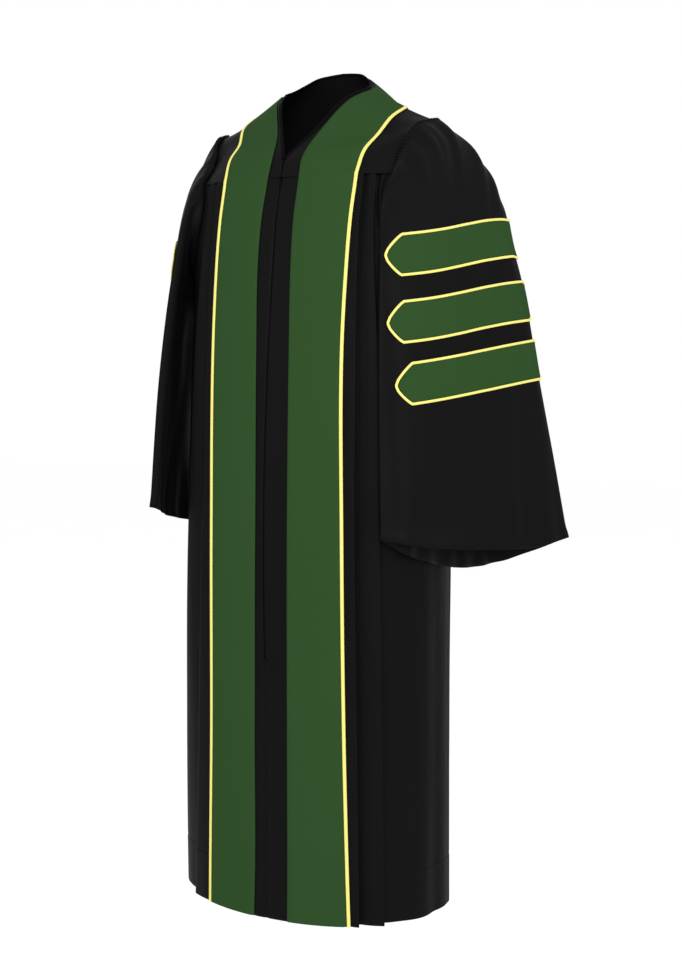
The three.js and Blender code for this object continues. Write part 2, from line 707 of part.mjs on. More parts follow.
function besideStrip(frontPiece, yokePiece, from, to) {
  const points = [];
  const outward = [];
  const pick = (a, b, na, nb) => {
    const reach = a.distanceTo(b);
    points.push([mix(a, b, from / reach), mix(a, b, to / reach)]);
    outward.push([mix(na, nb, from / reach), mix(na, nb, to / reach)]);
  };
  frontPiece.rows.forEach((row, i) => {
    const n = frontPiece.normals[i];
    pick(row[LAST_BAND_COLUMN], row[LAST_BAND_COLUMN + 1], n[LAST_BAND_COLUMN], n[LAST_BAND_COLUMN + 1]);
  });
  yokePiece.rows.forEach((row, i) => {
    if (i > 0) pick(row[4], row[5], yokePiece.normals[i][4], yokePiece.normals[i][5]);
  });
  const lastRow = backYokeRows.length - 1;
  spokeSteps.forEach((k, j) => {
    if (j === 0) return;
    const a = lastRow - 4;
    pick(backYokeRows[a][j], backYokeRows[a - 1][j], backYokeNormals[a][j], backYokeNormals[a - 1][j]);
  });
  return { points, outward };
}

const onTop = (thickness) => WALL / 2 + SEAM_GAP + thickness / 2;

function addStrip(name, strip, side, thickness, material, end) {
  const lift = onTop(thickness);
  const middle = moved(strip.points, strip.outward, lift);
  const trimmed = drawIn(middle, { top: end });
  const outer = moved(trimmed, strip.outward, thickness / 2);
  const inner = moved(trimmed, strip.outward, -thickness / 2);
  const sheets = side > 0 ? [outer, inner] : [flipped(outer), flipped(inner)];
  add(name, skin(sheets[0], sheets[1], false), material);
}

addStrip('band_left', bandStrip(frontLeft, yokeLeft), 1, BAND_THICK, GREEN_CLOTH, HALF_GAP);
addStrip('band_right', bandStrip(frontRight, yokeRight), -1, BAND_THICK, GREEN_CLOTH, HALF_GAP);
const pipingReach = [SEAM_GAP, SEAM_GAP + PIPING_WIDE];
const leftPiping = besideStrip(frontLeft, yokeLeft, ...pipingReach);
addStrip('piping_left', leftPiping, 1, PIPING_THICK, CREAM_PIPING, HALF_GAP);
const rightPiping = besideStrip(frontRight, yokeRight, ...pipingReach);
addStrip('piping_right', rightPiping, -1, PIPING_THICK, CREAM_PIPING, HALF_GAP);

// Neck binding.
// A folded tape along the neck edge: across points lie to either side of the edge.
function bindingStrip() {
  const points = [];
  const outward = [];
  const half = BINDING_WIDE / 2;
  const visit = (edge, next, normal, flip) => {
    const inward = unit(edge, next);
    const a = edge.clone().addScaledVector(inward, -half);
    const b = edge.clone().addScaledVector(inward, half);
    const turn = (p) => (flip ? new THREE.Vector3(-p.x, p.y, p.z) : p.clone());
    points.push([turn(a), turn(b)]);
    outward.push([turn(normal), turn(normal)]);
  };
  const climb = (piece, side) => {
    const list = [];
    piece.plain.forEach((row, i) => {
      if (YOKE_STEPS[i] >= V_STEP) list.push([row[0], row[1], piece.normals[i][0], side < 0]);
    });
    return list;
  };
  const top = backYokePlain.length - 1;
  const round = backYokePlain[top].map((p, j) => [
    p, backYokePlain[top - 1][j], backYokeNormals[top][j], false,
  ]);
  const path = climb(yokeLeft, 1).slice(0, -1).concat(round, climb(yokeRight, -1).slice(0, -1).reverse());
  path.forEach((entry) => visit(...entry));
  return { points, outward };
}

// At the point of the V each end of the binding stops at the middle of the opening.
function stopAtMiddle(rows) {
  const middle = front('opening', FRONT_SEAM_HEIGHT);
  rows.forEach((row, i) => row.forEach((p) => {
    if (p.y > V_DEPTH) return;
    if (i < rows.length / 2) p.setX(Math.max(p.x, middle + SEAM_GAP));
    else p.setX(Math.min(p.x, middle - SEAM_GAP));
  }));
  return rows;
}

const binding = bindingStrip();
const bindingOuter = stopAtMiddle(moved(binding.points, binding.outward, BINDING_THICK / 2));
const bindingInner = stopAtMiddle(moved(binding.points, binding.outward, -BINDING_THICK / 2));
add('neck_binding', skin(bindingOuter, bindingInner, false), BLACK_CLOTH);

// Zip tape behind the opening.
const tapeHeights = FRONT_HEIGHTS.filter((height) => height > ZIP_BOTTOM);
const tapeRows = [ZIP_BOTTOM + 0.5, ...tapeHeights].map((height) => {
  const middle = front('opening', height);
  return [-0.5, 0.5].map((share) => stand(height, middle + share * ZIP_TAPE_WIDE, 0));
});
addWall('zip_tape', drawIn(tapeRows, { top: 6 }), facings(tapeRows, false), ZIP_TAPE_THICK, BLACK_TAPE, {
  lift: -(WALL / 2 + SEAM_GAP + ZIP_TAPE_THICK / 2),
});

// Armhole loop, from the crown down the front, under the arm and up the back.
function armholeLoop() {
  const loop = [];
  const visit = (p, n) => loop.push({ p: p.clone(), n: n.clone().normalize() });
  const outer = yokeLeft.rows[0].length - 1;
  for (let i = YOKE_TOP; i >= 0; i -= 1) visit(yokeLeft.rows[i][outer], yokeLeft.normals[i][outer]);
  const width = frontLeft.rows[0].length - 1;
  for (let i = FRONT_HEIGHTS.length - 1; FRONT_HEIGHTS[i] >= UNDERARM_HEIGHT; i -= 1) {
    visit(frontLeft.rows[i][width], frontLeft.normals[i][width]);
  }
  BACK_HEIGHTS.forEach((height, i) => {
    if (height > UNDERARM_HEIGHT) visit(backSheet[i][0], backNormals[i][0]);
  });
  for (let j = CORNER_SPOKE * SPOKES_PER_STEP; j > 0; j -= 1) {
    visit(halfSpokesOuter(j).p, halfSpokesOuter(j).n);
  }
  let along = 0;
  loop.forEach((entry, i) => {
    if (i > 0) along += entry.p.distanceTo(loop[i - 1].p);
    entry.along = along;
  });
  return { loop, length: along + loop[loop.length - 1].p.distanceTo(loop[0].p) };
}

function halfSpokesOuter(j) {
  return { p: backYokeRows[0][j], n: backYokeNormals[0][j] };
}

const ARMHOLE_STEPS = 720;
const { loop: armhole, length: armholeLength } = armholeLoop();

function onArmhole(distance) {
  const want = ((distance % armholeLength) + armholeLength) % armholeLength;
  let i = armhole.length - 1;
  while (i > 0 && armhole[i].along > want) i -= 1;
  const a = armhole[i];
  const b = armhole[(i + 1) % armhole.length];
  const end = i + 1 < armhole.length ? b.along : armholeLength;
  const t = (want - a.along) / (end - a.along);
  return { p: mix(a.p, b.p, t), n: mix(a.n, b.n, t).normalize() };
}

// Distances along the armhole of the eight stations: crown, front, under the arm and back among them.
const nearest = (target) => {
  let best = { gap: Infinity, along: 0 };
  for (let k = 0; k < ARMHOLE_STEPS; k += 1) {
    const along = (armholeLength * k) / ARMHOLE_STEPS;
    const gap = onArmhole(along).p.distanceTo(target);
    if (gap < best.gap) best = { gap, along };
  }
  return best.along;
};
const ARMHOLE_MARKS = [
  [190, 38, 1272], [176, -40, 1222], [178, -90, 1150], [198, -62, 1043],
  [206, 12, 1003], [199, 72, 1052], [176, 108, 1160], [182, 84, 1235],
];
const marks = ARMHOLE_MARKS.map((mark, k) => (k === 0 ? 0 : nearest(fromArray(mark))));
marks.push(armholeLength);

// Sleeve.
// A smooth curve through a ring's stations that turns sharply only at the front fold.
function aroundRing(points, turn) {
  const count = points.length;
  const scaled = turn * count;
  const i = Math.floor(scaled);
  const t = scaled - i;
  const p = (k) => points[(i + k + count) % count];
  const blend = (key) => {
    const b = p(0)[key];
    const c = p(1)[key];
    const a = i === FOLD_STATION ? 2 * b - c : p(-1)[key];
    const d = i + 1 === FOLD_STATION ? 2 * c - b : p(2)[key];
    const bend = (2 * a - 5 * b + 4 * c - d) * t * t + (3 * b - a - 3 * c + d) * t * t * t;
    return 0.5 * (2 * b + (c - a) * t + bend);
  };
  return new THREE.Vector3(blend('x'), blend('y'), blend('z'));
}

function sleeveBase(rings, turn, down) {
  const wrapped = turn - Math.floor(turn);
  const scaled = wrapped * SLEEVE_STATIONS;
  const distance = smooth(marks.map((m, k) => k), marks, scaled);
  const { p, n } = onArmhole(distance);
  const edge = p.clone().addScaledVector(n, WALL / 2 + SLEEVE_GAP);
  const rise = pairs(SLEEVE_RISE, wrapped);
  const risen = p.clone().addScaledVector(n, WALL / 2 + SLEEVE_GAP + rise);
  const knots = [0, SEAM_DOWN, ...rings.map((ring) => ring.at)];
  const points = [edge, risen, ...rings.map((ring) => aroundRing(ring.points.map(fromArray), wrapped))];
  return smoothPoint(knots, points, down);
}

const turns = [];
for (let j = 0; j < UPPER_COLUMNS / 2; j += 1) turns.push((0.25 * j) / (UPPER_COLUMNS / 2));
turns.push(...LOWER_TURNS);
for (let j = 0; j < UPPER_COLUMNS / 2; j += 1) turns.push(0.75 + (0.25 * j) / (UPPER_COLUMNS / 2));

const signedTurn = (turn) => (turn > 0.5 ? turn - 1 : turn);

// Gathers stand round the sleeve head and fade out above the first bar.
function gatherOffset(turn, share) {
  const window = ease((0.215 - Math.abs(signedTurn(turn))) / 0.05);
  const wave = Math.cos(Math.PI * 2 * GATHERS * 2 * signedTurn(turn));
  const puff = ease(1 - Math.abs(turn - PUFF_TURN) / PUFF_REACH);
  return pairs(GATHER_DEPTH, share) * window * wave + pairs(PUFF_DEPTH, share) * puff;
}

const lean = new THREE.Vector3(...BAR_LEAN);

// The share of the way down at which a falling measure reaches a value.
function downWhere(measure, value, from, to) {
  let low = from;
  let high = to;
  for (let k = 0; k < HALVINGS; k += 1) {
    const middle = (low + high) / 2;
    if (measure(middle) > value) low = middle;
    else high = middle;
  }
  return (low + high) / 2;
}

// Upper edge, middle and lower edge of each bar on one line down the sleeve.
function barDowns(rings, turn) {
  return BAR_LEVELS.map((level) => {
    const levelAt = (d) => sleeveBase(rings, turn, d).dot(lean) + NECK_SIDE_HEIGHT;
    const middle = downWhere(levelAt, level, SEAM_DOWN * 2, 1);
    const p = sleeveBase(rings, turn, middle);
    const away = (d) => sleeveBase(rings, turn, d).distanceTo(p);
    const above = downWhere(away, BAR_HALF_HIGH, SEAM_DOWN * 2, middle);
    const below = downWhere((d) => -sleeveBase(rings, turn, d).distanceTo(p), -BAR_HALF_HIGH, middle, 1);
    return [above, middle, below];
  });
}

function sleeveDowns(rings, turn) {
  const side = signedTurn(turn);
  const most = side < 0 ? BACK_TURN : FOLD_TURN;
  const reach = Math.min(Math.abs(side), most);
  const level = barDowns(rings, side < 0 ? 1 - reach : reach);
  const under = ease((Math.abs(side) - most) / UNDER_BLEND);
  const bars = level.map((bar, k) => bar.map((d, m) => d + (UNDER_BAR_ROWS[k][m] - d) * under));
  const first = bars[0][0];
  const last = bars[bars.length - 1][2];
  const head = HEAD_ROWS.map((share) => share * first);
  const cuff = CUFF_ROWS.map((share) => last + (1 - last) * share);
  return [...head, ...bars.flat(), ...cuff];
}

// Holds the cloth of the front fold open by a few millimetres, so that its two sides never touch.
function openFold(rows) {
  const plain = facings(rows, true);
  const beside = turns.indexOf(FOLD_TURN) - 2;
  rows.forEach((row, i) => {
    const inward = plain[i][beside].clone().normalize().negate();
    const share = ease((i - 2) / FOLD_EASE_ROWS);
    turns.forEach((turn, j) => {
      const open = turn >= FOLD_TURN && turn <= 0.5 ? pairs(FOLD_SHARES, turn) : 0;
      row[j].addScaledVector(inward, FOLD_OPEN * share * open);
    });
  });
}

const headShare = (i) => (i < HEAD_ROWS.length ? HEAD_ROWS[i] : 1);

function shapeSleeve(rings) {
  const downs = turns.map((turn) => sleeveDowns(rings, turn));
  const base = downs[0].map((unused, i) => turns.map((turn, j) => sleeveBase(rings, turn, downs[j][i])));
  openFold(base);
  const facing = facings(base, true);
  const rows = base.map((row, i) => row.map((p, j) => (
    p.clone().addScaledVector(facing[i][j], gatherOffset(turns[j], headShare(i)))
  )));
  return { rows, normals: facings(rows, true) };
}

// Bars lie on the sleeve's own rows.
// The line along a bar's middle, measured from the crown, with the sleeve's columns in order
// from back to front.
function barLine(sleeve, row) {
  const signed = turns.map((turn, j) => ({ turn: signedTurn(turn), j }));
  const order = signed.filter(({ turn }) => turn <= FOLD_TURN && turn > -BACK_TURN - LEAST_TURN);
  order.sort((a, b) => a.turn - b.turn);
  let along = 0;
  const line = order.map(({ j }, k) => {
    const p = sleeve.rows[row][j];
    if (k > 0) along += p.distanceTo(sleeve.rows[row][order[k - 1].j]);
    return { j, along };
  });
  const crown = line.find(({ j }) => j === 0).along;
  return line.map((entry) => ({ j: entry.j, along: entry.along - crown }));
}

// The place on the cloth at a distance from the crown and a height over the bar's middle,
// measured along the cloth.
function onSleeve(sleeve, row, line, distance, off) {
  let k = 0;
  while (k < line.length - 2 && line[k + 1].along < distance) k += 1;
  const a = line[k];
  const b = line[k + 1];
  const t = (distance - a.along) / (b.along - a.along);
  const points = sleeve.rows.map((points, i) => mix(points[a.j], points[b.j], t));
  const outward = sleeve.normals.map((normals, i) => mix(normals[a.j], normals[b.j], t));
  const step = off > 0 ? -1 : 1;
  let i = row;
  let left = Math.abs(off);
  while (left > points[i].distanceTo(points[i + step])) {
    left -= points[i].distanceTo(points[i + step]);
    i += step;
  }
  const share = left / points[i].distanceTo(points[i + step]);
  return { p: mix(points[i], points[i + step], share), n: mix(outward[i], outward[i + step], share) };
}

const barHalfAt = (distance) => {
  const share = clamp01((BAR_HALF_LONG - Math.abs(distance)) / BAR_POINT);
  return BAR_TIP_HALF + (BAR_HALF_HIGH - BAR_TIP_HALF) * share;
};

// A bar's stations: its two tips, its two shoulders and every line of the sleeve between them.
function barStations(line, centre) {
  const reach = BAR_HALF_LONG - BAR_POINT;
  const list = [-BAR_HALF_LONG, -reach, reach, BAR_HALF_LONG];
  line.forEach(({ along }) => {
    const distance = along - centre;
    const clear = list.every((other) => Math.abs(other - distance) > LEAST_STATION);
    if (Math.abs(distance) < BAR_HALF_LONG && clear) list.push(distance);
  });
  return list.sort((a, b) => a - b);
}

function barShape(sleeve, k, centre) {
  const row = HEAD_ROWS.length + 3 * k + 1;
  const line = barLine(sleeve, row);
  const stations = barStations(line, centre);
  const at = (distance, off) => onSleeve(sleeve, row, line, distance + centre, off);
  const across = (distance) => [1, 0, -1].map((share) => at(distance, share * barHalfAt(distance)));
  const sheet = stations.map(across);
  const rim = (distance, sign, grow) => {
    const pastShoulder = clamp01((Math.abs(distance) - (BAR_HALF_LONG - BAR_POINT)) / BAR_POINT);
    const stretched = distance + Math.sign(distance) * grow * BAR_TIP_STRETCH * pastShoulder;
    return at(stretched, sign * (barHalfAt(distance) + grow));
  };
  const order = stations.map((d) => [d, 1]).concat(stations.slice().reverse().map((d) => [d, -1]));
  const edges = [BAR_PIPING_GAP, BAR_PIPING_GAP + BAR_PIPING_WIDE];
  const piping = edges.map((grow) => order.map(([d, sign]) => rim(d, sign, grow)));
  return { sheet, piping };
}

function raised(sheet, thickness, gap) {
  const lift = WALL / 2 + gap + thickness / 2;
  const shift = (by) => sheet.map((row) => row.map(({ p, n }) => p.clone().addScaledVector(n, by)));
  return [shift(lift + thickness / 2), shift(lift - thickness / 2)];
}

function buildSleeve(sideName, rings, centres, mirrored) {
  const sleeve = shapeSleeve(rings);
  const put = (rows) => (mirrored ? flipped(rows) : rows);
  addWall(`sleeve_${sideName}`, put(sleeve.rows), put(sleeve.normals), WALL, BLACK_CLOTH, { closed: true });
  BAR_LEVELS.forEach((level, k) => {
    const { sheet, piping } = barShape(sleeve, k, centres[k]);
    const bar = raised(sheet, BAR_THICK, BAR_GAP).map(put);
    add(`bar_${sideName}_${k + 1}`, skin(bar[0], bar[1], false), GREEN_CLOTH);
    const ring = raised(piping, BAR_PIPING_THICK, BAR_PIPING_LIFT).map(put);
    add(`bar_piping_${sideName}_${k + 1}`, skin(ring[0], ring[1], true), CREAM_PIPING);
  });
}

buildSleeve('left', LEFT_SLEEVE, LEFT_BAR_CENTRES, false);
buildSleeve('right', RIGHT_SLEEVE, RIGHT_BAR_CENTRES, true);

export default gown;
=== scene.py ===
"""A doctoral graduation gown: black satin robe, green velvet bands and sleeve bars, cream piping.

Every cloth piece is a sheet of points worked out with numpy on a grid of two parameters.
Lengths are in millimetres in the tables and in metres in the meshes; heights count from the hem.
"""

import math

import bpy
import numpy as np
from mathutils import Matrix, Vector


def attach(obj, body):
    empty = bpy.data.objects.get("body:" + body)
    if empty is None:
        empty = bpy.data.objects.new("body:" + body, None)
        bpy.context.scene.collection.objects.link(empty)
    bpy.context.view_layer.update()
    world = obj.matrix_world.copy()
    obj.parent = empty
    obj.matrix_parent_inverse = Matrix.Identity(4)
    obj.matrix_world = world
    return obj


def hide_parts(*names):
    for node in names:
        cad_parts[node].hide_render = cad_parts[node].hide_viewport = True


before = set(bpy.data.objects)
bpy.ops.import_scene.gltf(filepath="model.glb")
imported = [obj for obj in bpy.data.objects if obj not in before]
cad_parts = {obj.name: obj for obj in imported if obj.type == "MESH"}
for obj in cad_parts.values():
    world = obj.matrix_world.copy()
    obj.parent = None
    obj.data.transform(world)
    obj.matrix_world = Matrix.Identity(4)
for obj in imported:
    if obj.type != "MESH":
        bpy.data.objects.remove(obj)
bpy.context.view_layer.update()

bl_info = {
    "name": "Graduation Gown",
    "version": (1, 0, 0),
    "blender": (4, 5, 0),
    "location": "View3D > Sidebar > Gown",
    "description": "Builds the cloth, trim, materials and studio of a graduation gown",
    "category": "Object",
}

# Measures of the cut, in millimetres. Heights count up from the hem.
NECK_HEIGHT = 1331.0
FRONT_SEAM = 1175.0
BACK_SEAM = 1195.0
UNDERARM = 1003.0
SIDE_Y = 12.0
ZIP_FOOT = 418.0
ZIP_HALF = 1.3
SEAM_GAP = 0.3
HEM_DEPTH = 80.0

# Body sections: height, half width, depth in front, depth behind, squareness in front, behind.
BODY = np.array([
    [0, 229, 174, 160, 2.15, 2.1],
    [300, 227, 168, 157, 2.3, 2.15],
    [620, 224, 162, 153, 2.55, 2.2],
    [900, 214, 154, 150, 2.6, 2.3],
    [1040, 207, 145, 144, 2.6, 2.5],
    [1110, 203, 136, 139, 2.55, 2.7],
    [1175, 200, 119, 135, 2.6, 3.0],
    [1195, 199, 116, 133, 2.6, 3.1],
])
# Fronts: height, opening, band's inner and outer edge, two pleat folds, proud, recess, under.
FRONT = np.array([
    [0, -7, 31, 127.5, 146, 186, 4.2, 9, 15],
    [80, -8, 31, 124.5, 145, 185, 4.1, 8.6, 15],
    [300, -11, 29, 118, 141, 181, 3.9, 7.6, 13],
    [620, -17, 27, 113, 136, 175, 3.5, 7, 11],
    [900, -12, 27, 109.5, 134, 168, 3.2, 6, 10],
    [1040, -7, 26, 113, 132, 158, 3.0, 5.5, 8],
    [1175, -6, 27, 117, 131, 150, 2.6, 4.6, 6],
])
# The right front's band lies a little further out, and its pleats spread apart towards the hem:
# height, band's inner and outer edge, two pleat folds.
RIGHT_FRONT = np.array([
    [0, 30, 124, 172, 250],
    [80, 28.5, 122.5, 168, 242],
    [300, 30.5, 118, 156, 218],
    [620, 31, 115.5, 142, 188],
    [900, 32, 115, 134, 170],
    [1040, 33.5, 112, 132, 158],
    [1175, 29, 109, 130, 149],
])
# How far past a band's outer edge its piping and a narrow gap beyond it reach.
PIPING_REACH = 6.6
LEAST_LAYER = 2.7
ARMHOLE_FRONT = np.array([
    [1003, 12], [1030, -42], [1065, -77], [1110, -94], [1145, -91], [1175, -80], [1195, -70],
])
ARMHOLE_BACK = np.array([
    [1003, 12], [1030, 54], [1065, 82], [1105, 98], [1150, 107], [1195, 108],
])
# Front yoke rows above the seam: inner, middle and outer point, then the band's two distances.
YOKE_POINTS = np.array([
    [[0, -108, 1204], [88, -93, 1210], [166, -48, 1212]],
    [[29, -73, 1250], [103, -47, 1241], [176, -22, 1247]],
    [[57, -24, 1304], [122, -13, 1275], [184, 8, 1263]],
    [[77, 30, 1331], [134, 33, 1297], [190, 38, 1271]],
], float)
YOKE_BANDS = np.array([[27, 121], [9, 98], [7, 79], [7, 68]], float)
# Back yoke spokes from the neck to the armhole or the seam: neck, middle and end point.
SPOKES = np.array([
    [[77, 30, 1331], [134, 33, 1297], [190, 38, 1271]],
    [[71, 50, 1339], [130, 70, 1291], [184, 80, 1241]],
    [[60, 67, 1350], [117, 95, 1286], [172, 108, 1195]],
    [[42, 81, 1362], [78, 113, 1290], [115, 131, 1195]],
    [[21, 90, 1367], [39, 119, 1288], [57, 133, 1195]],
    [[0, 93, 1369], [0, 121, 1287], [0, 133, 1195]],
], float)
CORNER = 2
BACK_BAND = (7.0, 68.0)
FLUTES = 12
FLUTE_DEPTH = np.array([[0, 9], [300, 7.5], [800, 5], [1195, 3]])

# Sleeve rings: eight points each, from the crown forward, under the arm and back.
RING_DOWNS = [0.13, 0.34, 0.66, 1.0]
LEFT_RINGS = np.array([
    [[226, 40, 1242], [206, -46, 1203], [171, -121, 1136], [194, -88, 1036],
     [221, 14, 970], [238, 102, 1024], [265, 92, 1121], [261, 74, 1198]],
    [[264, -4, 1122], [221, -77, 1095], [168, -126, 1045], [199, -87, 977],
     [230, 15, 925], [264, 90, 960], [312, 79, 1045], [296, 38, 1100]],
    [[290, -20, 875], [232, -92, 865], [173, -140, 850], [208, -98, 800],
     [237, 12, 765], [278, 92, 785], [352, 93.5, 842], [329, 38, 866]],
    [[311, -32, 596], [243, -112, 603], [181, -151, 616], [214, -110, 588],
     [245, 8, 558], [290, 95, 561], [392, 120, 602], [357, 48, 592]],
], float)
RIGHT_RINGS = np.array([
    [[225, 46, 1237], [203, -42, 1203], [180, -114, 1136], [195, -88, 1038],
     [221, 14, 974], [232, 106, 1030], [246, 130, 1128], [240, 98, 1202]],
    [[261, 12, 1130], [229, -58, 1110], [198, -124, 1065], [204, -90, 987],
     [230, 15, 938], [258, 100, 972], [283, 124, 1055], [279, 72, 1110]],
    [[283, 10, 890], [251, -62, 884], [220, -142, 872], [214, -100, 822],
     [238, 14, 795], [264, 104, 815], [308, 138, 868], [306, 80, 882]],
    [[302, 2, 634], [266, -74, 641], [236, -152, 649], [227, -112, 632],
     [243, 10, 612], [274, 112, 612], [333, 160, 636], [332, 88, 632]],
], float)
ARMHOLE_MARKS = np.array([
    [176, -40, 1222], [178, -90, 1150], [198, -62, 1043],
    [206, 12, 1003], [199, 72, 1052], [176, 108, 1160], [182, 84, 1235],
], float)
# How far the sleeve rises over the armhole's edge, by turn; how its front fold is held open,
# by turn and by share of the head; and the puff and gathers of the head, by share of it.
SLEEVE_RISE = np.array([[0, 3.2], [0.15, 3.2], [0.24, 2], [0.3, 2.2], [0.38, 3.4], [1, 3.4]])
SEAM_DOWN = 0.012
SLEEVE_GAP = 1.5
FOLD_TURN = 0.25
FOLD_OPEN = 7.5
FOLD_SHARES = np.array([[0.25, 0.5], [0.262, 1], [0.29, 0.85], [0.34, 0.25], [0.38, 0], [0.5, 0]])
FOLD_ROWS = np.array([[0, 0], [0.11, 0], [0.24, 0.26], [0.44, 0.74], [0.7, 1], [1, 1]])
PUFF = np.array([[0, 0], [0.034, 0.8], [0.11, 3], [0.3, 4.5], [0.58, 3], [0.8, 1.2], [1, 0]])
GATHERS = 7
GATHER = np.array([[0, 0], [0.034, 0.8], [0.11, 2.4], [0.3, 3.2], [0.58, 2.2], [0.8, 0.9], [1, 0]])
BAR_LEVELS = [1044.0, 941.0, 845.0]
BAR_LEAN = np.array([-0.1, -0.12, 1.0])
BAR_HALF_HIGH = 28.5
BAR_HALF_LONG = 137.0
BAR_POINT = 22.0
# How far a bar's middle line sways off the level, and how much longer its back half is cut.
BAR_SWAY = [2.8, 2.2, 0.8]
BAR_LONGER = {"left": [0.0, 0.0, 9.0], "right": [0.0, 0.0, 0.0]}
BAR_CENTRES = {"left": [10.5, 12.5, 4.0], "right": [-8.0, -12.0, -8.0]}

# How far the face of the trim stands off the cloth it lies on, and the bars' own heights.
FACE_LIFT = 1.1
BINDING_HIGH = 3.0
BAR_WALL = 1.6
BAR_LIFT = 2.4
BAR_CORD_LIFT = 3.35
BAR_CORD_HIGH = 2.2
BACK_BAND_COLS = (4, 20)
MIRROR = np.array([-1, 1, 1])

# The camera: degrees round and down, metres off and aside, millimetres over the hem, and the
# picture's focal length and height in pixels. The floor reaches this many metres each way.
CAMERA_ROUND = 26.0
CAMERA_DOWN = 4.8
CAMERA_FAR = 2.3605
CAMERA_ASIDE = 0.0365
EYE_HEIGHT = 874
FOCAL_PIXELS = 1418.8
PICTURE_HIGH = 978
FLOOR_REACH = 14


# Curves through tables.
def weights(knots, at):
    """How much each knot counts at a place: Hermite cubics whose slopes are the means of the
    neighbouring chords' slopes, worked out by running the rule on unit columns."""
    knots = np.asarray(knots, float)
    at = np.clip(np.asarray(at, float), knots[0], knots[-1])
    count = len(knots)
    cell = np.clip(np.searchsorted(knots, at, side="left") - 1, 0, count - 2)
    chord = np.zeros((count - 1, count))
    spans = np.diff(knots)
    rows = np.arange(count - 1)
    chord[rows, rows] = -1 / spans
    chord[rows, rows + 1] = 1 / spans
    slope_before = chord.copy()
    slope_before[1:] = (chord[1:] + chord[:-1]) / 2
    slope_after = chord.copy()
    slope_after[:-1] = (chord[1:] + chord[:-1]) / 2
    step = spans[cell]
    t = ((at - knots[cell]) / step)[..., None]
    unit = np.eye(count)
    t2, t3 = t * t, t * t * t
    step = step[..., None]
    return (unit[cell] * (2 * t3 - 3 * t2 + 1) + unit[cell + 1] * (3 * t2 - 2 * t3)
            + slope_before[cell] * step * (t3 - 2 * t2 + t) + slope_after[cell] * step * (t3 - t2))


def along_table(table, at, column=1):
    """The value of a table's column at a place in its first column, on a smooth curve."""
    return weights(table[:, 0], at) @ table[:, column]


def ease(x):
    """A smooth step from 0 to 1: x squared times three minus two x."""
    x = np.clip(x, 0, 1)
    return x * x * (3 - 2 * x)


def bump(x, centre, reach):
    """A soft hill of height 1 at its centre that falls to 0 at its reach on both sides."""
    return ease(1 - np.abs(x - centre) / reach)


def unit(v):
    """Directions of length one."""
    return v / np.maximum(np.linalg.norm(v, axis=-1, keepdims=True), 1e-9)


def ramble(x, y, seed, waves=7, low=0.6, high=3.0):
    """A gentle uneven field: the mean of several sine waves with seeded directions and lengths."""
    rng = np.random.default_rng(seed)
    total = np.zeros(np.broadcast(x, y).shape)
    for _ in range(waves):
        a, b = rng.uniform(-high, high, 2)
        a += np.sign(a) * low
        total = total + np.sin(a * x + b * y + rng.uniform(0, 2 * math.pi))
    return total / waves


def facing(points, closed=False):
    """Unit directions out of a grid of points: the cross product of its two running tangents."""
    if closed:
        across = np.roll(points, -1, axis=1) - np.roll(points, 1, axis=1)
    else:
        across = np.gradient(points, axis=1)
    up = np.gradient(points, axis=0)
    return unit(np.cross(across, up))


def side_points(points, side):
    """The same grid for the wearer's left, or mirrored and reversed for the right."""
    if side > 0:
        return points
    mirrored = points * np.array([-1, 1, 1])
    return mirrored[:, ::-1]


# The body's outline.
SECTION_STEPS = 720


def outline(heights):
    """Points and distances round half the body at each height. A section is a superellipse:
    x is the half width times sine to the power 2 over squareness, y the same with the cosine."""
    heights = np.atleast_1d(np.asarray(heights, float))
    cols = weights(BODY[:, 0], heights) @ BODY[:, 1:]
    half, ahead, behind, square_front, square_back = [c[:, None] for c in cols.T]
    turn = np.linspace(0, math.pi, SECTION_STEPS + 1)[None, :]
    in_front = np.cos(turn) > 0
    square = np.where(in_front, square_front, square_back)
    x = half * np.abs(np.sin(turn)) ** (2 / square)
    y = np.where(in_front, -ahead, behind) * np.abs(np.cos(turn)) ** (2 / square)
    steps = np.hypot(np.diff(x, axis=1), np.diff(y, axis=1))
    along = np.concatenate([np.zeros((len(heights), 1)), np.cumsum(steps, axis=1)], axis=1)
    return x, y, along


def on_body(heights, distance, off=0.0):
    """Points at distances round the body from the centre front, one row a height, moved out by off.
    Negative distances lie on the wearer's right."""
    x, y, along = outline(heights)
    distance = np.asarray(distance, float)
    off = np.broadcast_to(off, distance.shape)
    out = np.zeros(distance.shape + (3,))
    for i, height in enumerate(np.atleast_1d(heights)):
        want = np.abs(distance[i])
        side = np.where(distance[i] < 0, -1.0, 1.0)
        px = np.interp(want, along[i], x[i])
        py = np.interp(want, along[i], y[i])
        tx = np.interp(want + 1.5, along[i], x[i]) - np.interp(want - 1.5, along[i], x[i])
        ty = np.interp(want + 1.5, along[i], y[i]) - np.interp(want - 1.5, along[i], y[i])
        size = np.maximum(np.hypot(tx, ty), 1e-9)
        out[i, :, 0] = side * (px + ty / size * off[i])
        out[i, :, 1] = py - tx / size * off[i]
        out[i, :, 2] = height - NECK_HEIGHT
    return out


def whole_back(heights):
    """The distance from the centre front to the centre back at each height."""
    return outline(heights)[2][:, -1]


def distance_at_depth(heights, depth):
    """How far round the body the side reaches a given depth."""
    _, y, along = outline(heights)
    return np.array([np.interp(d, yy, aa) for yy, aa, d in zip(y, along, np.broadcast_to(depth, len(y)))])


def front_edge(heights):
    """Distance of a front's side edge: the side seam, and above the underarm the armhole."""
    heights = np.atleast_1d(np.asarray(heights, float))
    depth = np.where(heights <= UNDERARM, SIDE_Y, along_table(ARMHOLE_FRONT, heights))
    return distance_at_depth(heights, depth)


